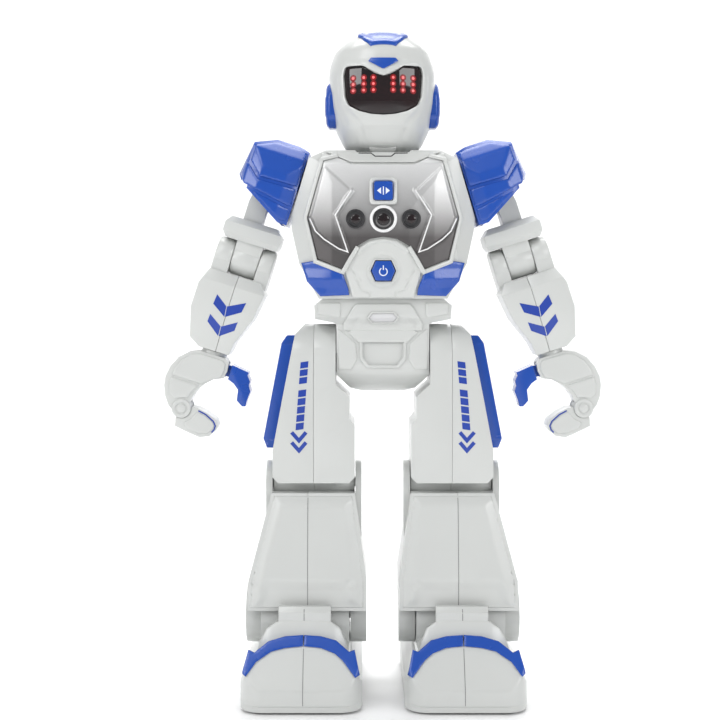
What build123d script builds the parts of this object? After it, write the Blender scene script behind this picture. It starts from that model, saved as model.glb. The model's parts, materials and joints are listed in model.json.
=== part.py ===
"""Walking humanoid toy robot: shells, joints and inner parts. Millimetres, +Z up, front faces -Y."""
import os
from math import cos, radians, sin

from build123d import *

os.makedirs("parts", exist_ok=True)

# Driving dimensions
WALL = 1.8
SEAM = 0.12
FIT = 0.05
COVER = 1.2

HEAD_SECTIONS = [
    (215.0, 10.5, 9.5),
    (217.3, 15.4, 14.0),
    (225.1, 18.8, 18.6),
    (235.6, 20.9, 21.2),
    (246.2, 21.5, 21.8),
    (254.6, 19.5, 20.0),
    (260.6, 13.7, 14.8),
    (263.2, 6.3, 7.2),
]
HEAD_SPLIT_Y = 2.0
NECK_R = 6.0

TORSO_TOP_Z = 215.6
TORSO_BASE_Z = 157.2
COLLAR_FLOOR_Z = 210.5
TORSO_WALL = 2.0
TORSO_BACK_Y = 20.0
SPEAKER_Z = 197.0

SHOULDER_X = 34.6
SHOULDER_Z = 203.0
SHOULDER_TILT = radians(17.5)
SHOULDER_FACE_U = -2.4
CAP_DEPTH = 15.0
LIFT_U = 10.0
LIFT_W = -3.0
ARM_SEAM_U = 10.6
ELBOW_W = -35.3
WRIST_U = 11.4
WRIST_W = -73.5
FINGER_PIVOT = (17.0, -99.5)
THUMB_PIVOT = (6.6, -79.8)
HAND_DEPTH = 5.5

HIP_Z = 133.0
PELVIS_R = 13.0
THIGH_R = 14.0
AXLE_R = 2.2
KNEE_Z = 83.0
KNEE_R = 6.5
THIGH_SEAM_X = 27.4
ANKLE_Z = 30.0
ANKLE_DISC_R = 11.9
TOWER_R = 16.5
SHIN_SEAM_X = 29.6

FOOT_LENGTH = 80.0
FOOT_WIDTH = 46.7
FOOT_X = 31.55
FOOT_CORNER_R = 9.0
SOLE_Z = 1.0
DRIVE_Y = 16.0
DRIVE_R = 8.0
IDLER_Y = -30.0
IDLER_R = 5.0
MOTOR_Y = 9.5
MOTOR_Z = 13.0
WHEEL_AXLE_R = 1.2

UP = Plane.XY
FRONT = Plane.XZ
SIDE = Plane.YZ
SHOULDER = (SHOULDER_X, 0, SHOULDER_Z)
ARM_OUT = (cos(SHOULDER_TILT), 0, sin(SHOULDER_TILT))
ARM_UP = (-sin(SHOULDER_TILT), 0, cos(SHOULDER_TILT))
ARM_FRONT = Plane(origin=SHOULDER, x_dir=ARM_OUT, z_dir=(0, -1, 0))
ARM_SIDE = Plane(origin=SHOULDER, x_dir=(0, 1, 0), z_dir=ARM_OUT)
ARM_LEVEL = Plane(origin=SHOULDER, x_dir=ARM_OUT, z_dir=ARM_UP)


def both_sides(points):
    """Close a right-hand outline, listed top to bottom, with its mirror image about x = 0."""
    return points + [(-x, z) for x, z in reversed(points)]


def prism(plane, points, near, far, mode=Mode.ADD, grow=0.0, rounding=0.0):
    """Extrude a closed outline drawn on a plane between two distances along its normal."""
    with BuildSketch(plane.offset(near)) as profile:
        Polygon(*points, align=None)
        if rounding:
            fillet(profile.vertices(), rounding)
        if grow:
            offset(amount=grow, kind=Kind.INTERSECTION, mode=Mode.REPLACE)
    extrude(profile.sketch, amount=far - near, mode=mode)


def disc(plane, centre, radius, near, far, mode=Mode.ADD):
    """Extrude a circle drawn on a plane between two distances along its normal."""
    with BuildSketch(plane.offset(near)) as profile:
        with Locations(centre):
            Circle(radius)
    extrude(profile.sketch, amount=far - near, mode=mode)


def block(size, centre, mode=Mode.ADD):
    """Place a box by its centre."""
    with Locations(centre):
        Box(*size, mode=mode)


def toothed(plane, centre, radius, teeth, near, far):
    """Extrude a small toothed wheel that stays inside the given radius."""
    disc(plane, centre, radius * 0.84, near, far)
    for tooth in range(teeth):
        angle = 360 / teeth * tooth
        with BuildSketch(plane.offset(near)) as profile:
            with Locations(centre):
                with PolarLocations(radius * 0.88, 1, start_angle=angle):
                    Rectangle(radius * 0.2, radius * 2.4 / teeth)
        extrude(profile.sketch, amount=far - near)


# ---------------------------------------------------------------- head
def head_form(grow):
    """Rounded helmet volume, grown or shrunk by a wall thickness."""
    with BuildPart() as form:
        for index, (height, half_x, half_y) in enumerate(HEAD_SECTIONS):
            shift = 0.0
            if index == 0:
                shift = -grow
            if index == len(HEAD_SECTIONS) - 1:
                shift = grow
            with BuildSketch(Plane.XY.offset(height + shift)):
                Ellipse(half_x + grow, half_y + grow)
        loft()
    return form.part


VISOR_OUTLINE = both_sides([
    (1.6, 247.2), (4.0, 248.2), (14.6, 249.2), (15.6, 246.5), (15.2, 237.5), (13.8, 233.2), (9.5, 230.8), (3.0, 229.8),
])
CREST_PLAN = [(-8.4, -15.5), (8.4, -15.5), (9.5, -11.0), (8.6, 12.0), (5.6, 17.0), (-5.6, 17.0), (-8.6, 12.0), (-9.5, -11.0)]
BADGE_OUTLINE = both_sides([(4.6, 252.3), (5.7, 250.6), (1.2, 247.4)])
CHIN_OUTLINE = both_sides([(8.2, 226.4), (10.4, 222.6), (8.0, 219.6)])

HEAD_OUTER = head_form(0.0)
HEAD_INNER = head_form(-WALL)
HEAD_RAISED = head_form(0.9)
HEAD_VISOR_FRONT = head_form(-0.5)
HEAD_VISOR_BACK = head_form(-2.2)

with BuildPart() as head_front_shell:
    add(HEAD_OUTER)
    add(HEAD_INNER, mode=Mode.SUBTRACT)
    block((60, 40, 60), (0, HEAD_SPLIT_Y + 20 - SEAM / 2, 240), mode=Mode.SUBTRACT)
    prism(FRONT, VISOR_OUTLINE, 0, 40, mode=Mode.SUBTRACT, grow=0.08)
    prism(FRONT, CHIN_OUTLINE, 17.6, 30, mode=Mode.SUBTRACT)
    disc(UP, (0, 0), NECK_R + 0.02, 210, 220, mode=Mode.SUBTRACT)
head_front_shell.part.label = "head_front_shell"
export_step(head_front_shell.part, "parts/head_front_shell.step")

with BuildPart() as head_rear_shell:
    add(HEAD_OUTER)
    add(HEAD_INNER, mode=Mode.SUBTRACT)
    block((60, 60, 60), (0, HEAD_SPLIT_Y - 30 + SEAM / 2, 240), mode=Mode.SUBTRACT)
    disc(UP, (0, 0), NECK_R + 0.02, 210, 220, mode=Mode.SUBTRACT)
    for drop in range(4):
        block((14, 8, 1.4), (0, 20, 229 + 3.4 * drop), mode=Mode.SUBTRACT)
head_rear_shell.part.label = "head_rear_shell"
export_step(head_rear_shell.part, "parts/head_rear_shell.step")

with BuildPart() as visor:
    prism(FRONT, VISOR_OUTLINE, 4, 40)
    add(HEAD_VISOR_FRONT, mode=Mode.INTERSECT)
    add(HEAD_VISOR_BACK, mode=Mode.SUBTRACT)
visor.part.label = "visor"
export_step(visor.part, "parts/visor.step")

LED_COLUMNS = [-12.8, -8.5, -4.2, 4.2, 8.5, 12.8]
LED_ROWS = [244.1, 241.7, 239.3]
with BuildPart() as eye_board:
    block((27.6, 1.2, 12), (0, -11.6, 241.7))
    block((6, 3, 5), (0, -9.5, 241.7))
eye_board.part.label = "eye_board"
export_step(eye_board.part, "parts/eye_board.step")

with BuildPart() as eye_leds:
    for column in LED_COLUMNS:
        for row in LED_ROWS:
            disc(FRONT, (column, row), 0.75, 12.2, 13.4)
eye_leds.part.label = "eye_leds"
export_step(eye_leds.part, "parts/eye_leds.step")

with BuildPart() as crown_crest:
    prism(UP, CREST_PLAN, 250, 275)
    add(HEAD_RAISED, mode=Mode.INTERSECT)
    add(HEAD_OUTER, mode=Mode.SUBTRACT)
    block((60, 60, 20), (0, 0, 244.8), mode=Mode.SUBTRACT)
crown_crest.part.label = "crown_crest"
export_step(crown_crest.part, "parts/crown_crest.step")

with BuildPart() as brow_badge:
    prism(FRONT, BADGE_OUTLINE, 8, 40)
    add(HEAD_RAISED, mode=Mode.INTERSECT)
    add(HEAD_OUTER, mode=Mode.SUBTRACT)
    add(crown_crest.part, mode=Mode.SUBTRACT)
brow_badge.part.label = "brow_badge"
export_step(brow_badge.part, "parts/brow_badge.step")

EAR_OUTLINE = [(-5.0, 224.9), (4.0, 224.9), (7.4, 229.0), (7.4, 239.0), (4.0, 243.6), (-5.0, 243.6), (-8.4, 239.0), (-8.4, 229.0)]
with BuildPart() as ear_pods:
    for near, far in ((15.0, 23.3), (-23.3, -15.0)):
        prism(SIDE, EAR_OUTLINE, near, far, rounding=1.6)
    add(HEAD_OUTER, mode=Mode.SUBTRACT)
ear_pods.part.label = "ear_pods"
export_step(ear_pods.part, "parts/ear_pods.step")

with BuildPart() as neck_post:
    disc(UP, (0, 0), NECK_R, 204.5, 219.5)
    disc(UP, (0, 0), 8.4, 204.5, 208.2)
    disc(UP, (0, 0), 8.4, 217.0, 219.5)
    disc(UP, (0, 0), 2.6, 200, 225, mode=Mode.SUBTRACT)
neck_post.part.label = "neck_post"
export_step(neck_post.part, "parts/neck_post.step")

# ---------------------------------------------------------------- torso
TORSO_FRONT_OUTLINE = both_sides([
    (22.5, TORSO_TOP_Z), (29.2, 212.3), (36.5, 188.9), (35.9, 183.9), (33.0, 171.0), (25.2, TORSO_BASE_Z),
])
TORSO_SIDE_OUTLINE = [
    (-14.5, TORSO_TOP_Z), (-18.6, 210.0), (-22.5, 190.0), (-22.8, 184.0), (-20.8, 168.0), (-18.4, TORSO_BASE_Z),
    (17.4, TORSO_BASE_Z), (TORSO_BACK_Y, 166.0), (TORSO_BACK_Y, 206.0), (15.0, TORSO_TOP_Z),
]
TORSO_PLAN_OUTLINE = [
    (-38.0, -11.0), (-30.0, -16.0), (-20.0, -20.0), (-10.0, -22.2), (0.0, -22.9), (10.0, -22.2), (20.0, -20.0),
    (30.0, -16.0), (38.0, -11.0), (38.0, 8.0), (25.0, TORSO_BACK_Y), (-25.0, TORSO_BACK_Y), (-38.0, 8.0),
]


def torso_form(grow):
    """Chest volume: front, side and plan outlines crossed, grown or shrunk by a wall thickness."""
    with BuildPart() as form:
        prism(FRONT, TORSO_FRONT_OUTLINE, -40, 40, grow=grow)
        prism(SIDE, TORSO_SIDE_OUTLINE, -60, 60, mode=Mode.INTERSECT, grow=grow)
        prism(UP, TORSO_PLAN_OUTLINE, 100, 260, mode=Mode.INTERSECT, grow=grow)
    return form.part


TORSO_OUTER = torso_form(0.0)
TORSO_INNER = torso_form(-TORSO_WALL)
TORSO_COVER = torso_form(COVER)
MODE_Z = 199.1
SENSOR_Z = 188.2
POWER_Z = 168.1
POWER_HEX = [(-4.7, 0.0), (-3.0, 3.9), (3.0, 3.9), (4.7, 0.0), (3.0, -3.9), (-3.0, -3.9)]
SCREW_POINTS = [(-20.5, 172.0), (20.5, 172.0), (-20.5, 192.0), (20.5, 192.0)]


def hexagon(scale_factor):
    """Power button outline at its height on the belly."""
    return [(x * scale_factor, POWER_Z + z * scale_factor) for x, z in POWER_HEX]


def torso_common():
    """Cuts and bosses shared by the two torso shells."""
    disc(UP, (0, 0), 18.6, COLLAR_FLOOR_Z - TORSO_WALL, 214.0)
    add(TORSO_OUTER, mode=Mode.INTERSECT)
    disc(UP, (0, 0), 18.2, COLLAR_FLOOR_Z, 225.0, mode=Mode.SUBTRACT)
    disc(UP, (0, 0), NECK_R + 0.08, 200, 225, mode=Mode.SUBTRACT)
    block((30.1, 20.1, 12), (0, 0, 158), mode=Mode.SUBTRACT)


def shoulder_bearings():
    """Round bearing seats for the shoulder shafts in both slanted sides."""
    for out in (1, -1):
        plane = Plane(origin=(out * SHOULDER_X, 0, SHOULDER_Z), x_dir=(0, 1, 0), z_dir=(out * ARM_OUT[0], 0, ARM_OUT[2]))
        disc(plane, (0, 0), 6.0, -5.6, -3.2)
        disc(plane, (0, 0), 3.0 + FIT, -12, 2, mode=Mode.SUBTRACT)


with BuildPart() as torso_front_shell:
    add(TORSO_OUTER)
    add(TORSO_INNER, mode=Mode.SUBTRACT)
    torso_common()
    shoulder_bearings()
    for x, z in SCREW_POINTS:
        disc(FRONT, (x, z), 3.0, -1.5, 18.0)
        disc(FRONT, (x, z), 1.02, -4, 12, mode=Mode.SUBTRACT)
    block((100, 60, 90), (0, 2 + 30 - SEAM / 2, 190), mode=Mode.SUBTRACT)
    block((7.5, 20, 7.5), (0, -22, MODE_Z), mode=Mode.SUBTRACT)
    prism(FRONT, hexagon(1.03), 12, 40, mode=Mode.SUBTRACT)
    for x in (-10.8, 0, 10.8):
        disc(FRONT, (x, SENSOR_Z), 2.6, 12, 40, mode=Mode.SUBTRACT)
    for slot in (-2, -1, 0, 1, 2):
        block((1.0, 10, 3.2), (24.5 + 1.9 * slot, -14, 178.5), mode=Mode.SUBTRACT)
torso_front_shell.part.label = "torso_front_shell"
export_step(torso_front_shell.part, "parts/torso_front_shell.step")

with BuildPart() as torso_rear_shell:
    add(TORSO_OUTER)
    add(TORSO_INNER, mode=Mode.SUBTRACT)
    torso_common()
    shoulder_bearings()
    for x, z in SCREW_POINTS:
        disc(FRONT, (x, z), 3.0, -18.4, 0)
        disc(FRONT, (x, z), 1.1, -30, 4, mode=Mode.SUBTRACT)
        disc(FRONT, (x, z), 2.2, -30, -18.3, mode=Mode.SUBTRACT)
    block((100, 60, 90), (0, 2 - 30 + SEAM / 2, 190), mode=Mode.SUBTRACT)
    block((30.2, 8, 20.2), (0, 20, 178), mode=Mode.SUBTRACT)
    for slot in range(-3, 4):
        block((13.0 - abs(slot) * 1.6, 8, 1.1), (0, 20, SPEAKER_Z + 2.2 * slot), mode=Mode.SUBTRACT)
    block((3.4, 10, 10.0), (-17.5, 20, 201), mode=Mode.SUBTRACT)
    disc(FRONT, (17.5, 201), 3.0, -30, -14, mode=Mode.SUBTRACT)
torso_rear_shell.part.label = "torso_rear_shell"
export_step(torso_rear_shell.part, "parts/torso_rear_shell.step")

PLATE_OUTLINE = both_sides([
    (17.8, 212.6), (23.3, 211.2), (29.8, 189.0), (25.8, 172.4), (15.9, 168.4), (10.6, 177.0), (5.0, 180.2), (0.6, 180.9),
])
with BuildPart() as chest_plate:
    prism(FRONT, PLATE_OUTLINE, 4, 40)
    add(TORSO_COVER, mode=Mode.INTERSECT)
    add(TORSO_OUTER, mode=Mode.SUBTRACT)
    disc(UP, (0, 0), 18.3, 200, 225, mode=Mode.SUBTRACT)
    block((10.3, 20, 10.3), (0, -22, MODE_Z), mode=Mode.SUBTRACT)
    disc(FRONT, (0, SENSOR_Z), 5.25, 12, 40, mode=Mode.SUBTRACT)
    for x in (-10.8, 10.8):
        disc(FRONT, (x, SENSOR_Z), 3.7, 12, 40, mode=Mode.SUBTRACT)
    for side in (-1, 1):
        for slot in (-2, -1, 0, 1, 2):
            block((1.0, 10, 3.2), (side * (24.5 + 1.9 * slot), -14, 178.5), mode=Mode.SUBTRACT)
chest_plate.part.label = "chest_plate"
export_step(chest_plate.part, "parts/chest_plate.step")

BELLY_OUTLINE = both_sides([
    (0.6, 180.6), (5.0, 179.9), (10.3, 176.8), (15.3, 168.2), (12.9, 160.9), (12.2, 157.6),
])
with BuildPart() as belly_cover:
    prism(FRONT, BELLY_OUTLINE, 4, 40)
    add(TORSO_COVER, mode=Mode.INTERSECT)
    add(TORSO_OUTER, mode=Mode.SUBTRACT)
    block((60, 60, 6), (0, 0, TORSO_BASE_Z - 3), mode=Mode.SUBTRACT)
    prism(FRONT, hexagon(1.03), 12, 40, mode=Mode.SUBTRACT)
belly_cover.part.label = "belly_cover"
export_step(belly_cover.part, "parts/belly_cover.step")

ACCENT_OUTLINE = [(32.2, 171.0), (25.6, 171.6), (15.6, 167.4), (13.3, 161.0), (13.0, 158.4), (24.6, 158.0), (29.6, 164.0)]
with BuildPart() as side_accents:
    prism(FRONT, ACCENT_OUTLINE, 4, 40)
    prism(FRONT, [(-x, z) for x, z in ACCENT_OUTLINE], 4, 40)
    add(TORSO_COVER, mode=Mode.INTERSECT)
    add(TORSO_OUTER, mode=Mode.SUBTRACT)
side_accents.part.label = "side_accents"
export_step(side_accents.part, "parts/side_accents.step")

with BuildPart() as sensor_lenses:
    disc(FRONT, (0, SENSOR_Z), 4.0, 20.6, 24.4)
    for x in (-10.8, 10.8):
        disc(FRONT, (x, SENSOR_Z), 3.6, 20.2, 23.9)
    add(TORSO_OUTER, mode=Mode.SUBTRACT)
sensor_lenses.part.label = "sensor_lenses"
export_step(sensor_lenses.part, "parts/sensor_lenses.step")

with BuildPart() as chest_bezels:
    disc(FRONT, (0, SENSOR_Z), 5.2, 20.0, 24.6)
    disc(FRONT, (0, SENSOR_Z), 4.02, 12, 40, mode=Mode.SUBTRACT)
    with BuildSketch(FRONT.offset(18.0)) as button_frame:
        with Locations((0, MODE_Z)):
            RectangleRounded(10.2, 10.2, 1.2)
            Rectangle(7.5, 7.5, mode=Mode.SUBTRACT)
    extrude(button_frame.sketch, amount=5.0)
    add(TORSO_OUTER, mode=Mode.SUBTRACT)
chest_bezels.part.label = "chest_bezels"
export_step(chest_bezels.part, "parts/chest_bezels.step")

PELVIS_FRONT_OUTLINE = both_sides([
    (14.9, 163.0), (14.9, 157.1), (24.0, 157.1), (27.1, 154.6), (26.7, 149.2), (19.6, 147.8), (18.3, 147.2),
    (18.3, 127.0), (13.0, 121.6), (7.0, 119.8),
])


def pelvis_form(grow):
    """Waist and hip housing, round about the hip axis underneath."""
    with BuildPart() as form:
        prism(FRONT, PELVIS_FRONT_OUTLINE, -30, 30, grow=grow)
        with BuildSketch(SIDE.offset(-40)) as side_view:
            with Locations((0, HIP_Z)):
                Circle(PELVIS_R + grow)
            with Locations((0, (HIP_Z + 149) / 2)):
                Rectangle(2 * (PELVIS_R + grow), 149 - HIP_Z)
            Polygon((-13.0 - grow, 147), (-15.5 - grow, 150), (-15.5 - grow, 157.1 + grow), (-9.9 - grow, 157.1 + grow),
                    (-9.9 - grow, 163 + grow), (9.9 + grow, 163 + grow), (9.9 + grow, 157.1 + grow),
                    (15.5 + grow, 157.1 + grow), (15.5 + grow, 150), (13.0 + grow, 147), align=None)
        extrude(side_view.sketch, amount=80, mode=Mode.INTERSECT)
    return form.part


PELVIS_PANEL = both_sides([(7.9, 140.7), (7.7, 134.2), (5.6, 131.1)])
with BuildPart() as pelvis_housing:
    add(pelvis_form(0.0))
    add(pelvis_form(-WALL), mode=Mode.SUBTRACT)
    for x in (-15.6, 15.6):
        disc(SIDE, (0, HIP_Z), 4.6, x - 2.4, x + 2.4)
    disc(SIDE, (0, HIP_Z), AXLE_R + 0.02, -30, 30, mode=Mode.SUBTRACT)
    prism(FRONT, PELVIS_PANEL, 12.2, 20, mode=Mode.SUBTRACT)
    block((80, SEAM, 80), (0, 0, 140), mode=Mode.SUBTRACT)
pelvis_housing.part.label = "pelvis_housing"
export_step(pelvis_housing.part, "parts/pelvis_housing.step")

with BuildPart() as hip_axle:
    disc(SIDE, (0, HIP_Z), AXLE_R, -29.4, 29.4)
    for near in (-29.4, 27.9):
        disc(SIDE, (0, HIP_Z), 4.0, near, near + 1.5)
hip_axle.part.label = "hip_axle"
export_step(hip_axle.part, "parts/hip_axle.step")

with BuildPart() as main_board:
    block((32, 1.4, 38), (0, -8, 184))
    block((11, 1.6, 11), (-5, -9.5, 178))
    block((6, 3.0, 8), (9, -10.2, 194))
    block((5, 4.0, 3), (0, -10.7, 169))
    for x in (-12, 12):
        disc(FRONT, (x, 199), 2.0, 8.7, 13.0)
main_board.part.label = "main_board"
export_step(main_board.part, "parts/main_board.step")

with BuildPart() as battery_pack:
    for x in (-7.2, 7.2):
        disc(UP, (x, 10.4), 7.0, 169.5, 186.5)
    block((16, 12.6, 17), (0, 10.4, 178))
battery_pack.part.label = "battery_pack"
export_step(battery_pack.part, "parts/battery_pack.step")

with BuildPart() as battery_cover:
    block((30.0, 1.8, 20.0), (0, 19.1, 178))
    disc(FRONT, (0, 186), 2.0, -30, -19.2, mode=Mode.SUBTRACT)
    for slot in range(3):
        block((12, 1, 1.0), (0, 20.2, 171 + 2.2 * slot), mode=Mode.SUBTRACT)
battery_cover.part.label = "battery_cover"
export_step(battery_cover.part, "parts/battery_cover.step")

with BuildPart() as speaker:
    disc(FRONT, (0, SPEAKER_Z), 8.0, -17.8, -16.4)
    disc(FRONT, (0, SPEAKER_Z), 7.2, -16.4, -14.2)
    disc(FRONT, (0, SPEAKER_Z), 4.6, -14.2, -10.4)
speaker.part.label = "speaker"
export_step(speaker.part, "parts/speaker.step")

with BuildPart() as charging_port:
    disc(FRONT, (17.5, 201), 2.95, -20.2, -9.0)
    disc(FRONT, (17.5, 201), 4.2, -17.8, -16.0)
    disc(FRONT, (17.5, 201), 1.75, -21, -12.2, mode=Mode.SUBTRACT)
charging_port.part.label = "charging_port"
export_step(charging_port.part, "parts/charging_port.step")

with BuildPart() as body_screws:
    for x, z in SCREW_POINTS:
        disc(FRONT, (x, z), 2.0, -19.4, -18.3)
        disc(FRONT, (x, z), 1.0, -18.3, 8.0)
        block((2.8, 1, 0.6), (x, 19.4, z), mode=Mode.SUBTRACT)
        block((0.6, 1, 2.8), (x, 19.4, z), mode=Mode.SUBTRACT)
body_screws.part.label = "body_screws"
export_step(body_screws.part, "parts/body_screws.step")

with BuildPart() as mode_button:
    with BuildSketch(FRONT.offset(16.2)) as button_face:
        with Locations((0, MODE_Z)):
            RectangleRounded(7.2, 7.2, 0.9)
    extrude(button_face.sketch, amount=7.4)
    block((9.2, 1.2, 9.2), (0, -16.8, MODE_Z))
mode_button.part.label = "mode_button"
export_step(mode_button.part, "parts/mode_button.step")

with BuildPart() as power_button:
    prism(FRONT, hexagon(0.98), 15.6, 23.0)
    prism(FRONT, hexagon(1.25), 15.6, 16.6)
power_button.part.label = "power_button"
export_step(power_button.part, "parts/power_button.step")

with BuildPart() as power_switch:
    block((3.0, 3.6, 5.0), (-17.5, 19.4, 199.0))
    block((7.0, 1.4, 7.0), (-17.5, 17.0, 199.0))
power_switch.part.label = "power_switch"
export_step(power_switch.part, "parts/power_switch.step")

# ---------------------------------------------------------------- arms
CAP_OUTLINE = [
    (-1.7, 13.3), (2.5, 14.5), (12.0, 14.6), (20.2, 10.7), (22.8, -3.0), (20.0, -6.4), (10.5, -12.0), (2.0, -17.1),
    (-1.7, -17.1),
]
CAP_SIDE_OUTLINE = [
    (-15.0, -17.2), (-15.0, 2.0), (-12.5, 9.0), (-7.0, 14.7), (7.0, 14.7), (12.5, 9.0), (15.0, 2.0), (15.0, -17.2),
]
CAP_PLAN_OUTLINE = [
    (-1.7, -13.0), (4.0, -15.0), (14.0, -15.0), (20.0, -12.0), (22.8, -6.0), (22.8, 6.0), (20.0, 12.0), (14.0, 15.0),
    (4.0, 15.0), (-1.7, 13.0),
]


def cap_form(grow):
    """Shoulder shield volume in the slanted arm frame."""
    with BuildPart() as form:
        prism(ARM_FRONT, CAP_OUTLINE, -20, 20, grow=grow)
        prism(ARM_SIDE, CAP_SIDE_OUTLINE, -10, 40, mode=Mode.INTERSECT, grow=grow)
        prism(ARM_LEVEL, CAP_PLAN_OUTLINE, -30, 30, mode=Mode.INTERSECT, grow=grow)
    return form.part


with BuildPart() as shoulder_cap_left:
    add(cap_form(0.0))
    add(cap_form(-WALL), mode=Mode.SUBTRACT)
    prism(ARM_FRONT, [(0.2, -22), (0.2, -5), (17, -5), (19, -4.2), (26, -8), (26, -22)], -13.1, 13.1, mode=Mode.SUBTRACT)
    disc(ARM_SIDE, (0, 0), 3.0, -8.6, 0.0)
    disc(ARM_SIDE, (0, 0), 4.6, -8.6, -6.0)
    disc(ARM_SIDE, (0, 0), 5.0, -1.8, 1.6)
    disc(ARM_FRONT, (LIFT_U, LIFT_W), 2.0, -13.6, 13.6)
shoulder_cap_left.part.label = "shoulder_cap_left"
export_step(shoulder_cap_left.part, "parts/shoulder_cap_left.step")

BICEP_OUTLINE = [
    (1.6, -19.6), (20.4, -19.6), (22.2, -22.4), (22.2, -26.0), (20.6, -28.3), (-0.4, -28.3), (-1.2, -26.4), (-1.2, -22.4),
]
BICEP_SIDE = [(-6.6, -19.6), (-9.0, -22.0), (-9.0, -26.2), (-7.4, -28.3), (7.4, -28.3), (9.0, -26.2), (9.0, -22.0), (6.6, -19.6)]
NECK_OUTLINE = [(5.6, -3.0), (14.4, -3.0), (16.0, -12.2), (16.0, -20.2), (8.2, -20.2), (8.2, -12.0)]
with BuildPart() as upper_arm_left:
    prism(ARM_FRONT, BICEP_OUTLINE, -12, 12)
    prism(ARM_SIDE, BICEP_SIDE, -10, 30, mode=Mode.INTERSECT)
    prism(ARM_FRONT, NECK_OUTLINE, -5, 5)
    disc(ARM_FRONT, (LIFT_U, LIFT_W), 4.6, -5, 5)
    disc(ARM_SIDE, (0, ELBOW_W), 6.2, 4.9, 15.6)
    prism(ARM_SIDE, [(-6.2, -28.0), (6.2, -28.0), (6.2, ELBOW_W), (-6.2, ELBOW_W)], 4.9, 15.6)
    prism(ARM_FRONT, [(1.2, -21.4), (20.0, -21.4), (20.0, -26.5), (1.2, -26.5)], -7.0, 7.0, mode=Mode.SUBTRACT)
    disc(ARM_FRONT, (LIFT_U, LIFT_W), 2.0 + FIT, -20, 20, mode=Mode.SUBTRACT)
    disc(ARM_SIDE, (0, ELBOW_W), 2.0 + FIT, -20, 40, mode=Mode.SUBTRACT)
    disc(ARM_LEVEL, (12.4, 0), 1.4, -23, 3, mode=Mode.SUBTRACT)
upper_arm_left.part.label = "upper_arm_left"
export_step(upper_arm_left.part, "parts/upper_arm_left.step")

FOREARM_OUTLINE = [
    (1.2, -42.2), (22.6, -42.2), (25.0, -48.8), (25.1, -58.8), (22.2, -70.7), (17.6, WRIST_W), (5.1, WRIST_W),
    (4.2, -68.0), (0.1, -57.3), (-1.6, -46.0),
]
FOREARM_SIDE = [
    (-7.6, -42.2), (-10.4, -46.6), (-10.4, -60.0), (-7.4, WRIST_W), (7.4, WRIST_W), (9.6, -60.0), (9.6, -46.6), (7.6, -42.2),
]


def forearm_form(grow):
    """Tapered forearm volume in the slanted arm frame."""
    with BuildPart() as form:
        prism(ARM_FRONT, FOREARM_OUTLINE, -15, 15, grow=grow)
        prism(ARM_SIDE, FOREARM_SIDE, -10, 40, mode=Mode.INTERSECT, grow=grow)
    return form.part


with BuildPart() as forearm_left:
    add(forearm_form(0.0))
    for near, far in ((-1.0, 4.7), (15.8, 22.6)):
        disc(ARM_SIDE, (0, ELBOW_W), 6.5, near, far)
        prism(ARM_SIDE, [(-6.5, ELBOW_W), (6.5, ELBOW_W), (6.5, -44.5), (-6.5, -44.5)], near, far)
    add(forearm_form(-WALL), mode=Mode.SUBTRACT)
    disc(ARM_SIDE, (0, ELBOW_W), 2.0, -1.0, 22.6)
    disc(ARM_LEVEL, (WRIST_U, 0), 3.0 + FIT, -76, -70, mode=Mode.SUBTRACT)
    prism(ARM_FRONT, [(ARM_SEAM_U - SEAM / 2, -90), (ARM_SEAM_U + SEAM / 2, -90), (ARM_SEAM_U + SEAM / 2, 0),
                      (ARM_SEAM_U - SEAM / 2, 0)], -20, 20, mode=Mode.SUBTRACT)
forearm_left.part.label = "forearm_left"
export_step(forearm_left.part, "parts/forearm_left.step")

PALM_OUTLINE = [
    (6.2, -75.2), (16.8, -75.2), (20.5, -76.6), (24.2, -80.2), (26.2, -84.6), (26.9, -89.1), (26.4, -92.6), (24.7, -96.7),
    (22.3, -99.9), (19.4, -101.8), (17.0, -99.5), (14.6, -96.8), (14.2, -93.9), (13.3, -90.9), (11.5, -87.9), (8.2, -84.6),
    (4.6, -83.0), (3.9, -79.8), (4.4, -76.6),
]
with BuildPart() as hand_left:
    prism(ARM_FRONT, PALM_OUTLINE, -HAND_DEPTH, HAND_DEPTH)
    disc(ARM_FRONT, FINGER_PIVOT, 3.6, -HAND_DEPTH, HAND_DEPTH)
    disc(ARM_LEVEL, (WRIST_U, 0), 5.2, -75.6, -73.8)
    disc(ARM_LEVEL, (WRIST_U, 0), 3.0, -75.0, -69.6)
    disc(ARM_LEVEL, (WRIST_U, 0), 4.4, -71.4, -69.6)
    disc(ARM_FRONT, FINGER_PIVOT, 4.4, -2.7, 2.7, mode=Mode.SUBTRACT)
    disc(ARM_FRONT, FINGER_PIVOT, 1.2, -3.0, 3.0)
    disc(ARM_FRONT, THUMB_PIVOT, 3.1, -2.1, 2.1, mode=Mode.SUBTRACT)
    prism(ARM_FRONT, [(6.6, -76.3), (2.0, -76.3), (2.0, -83.6), (6.6, -83.6)], -2.1, 2.1, mode=Mode.SUBTRACT)
    disc(ARM_FRONT, THUMB_PIVOT, 1.0, -2.4, 2.4)
hand_left.part.label = "hand_left"
export_step(hand_left.part, "parts/hand_left.step")

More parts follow.
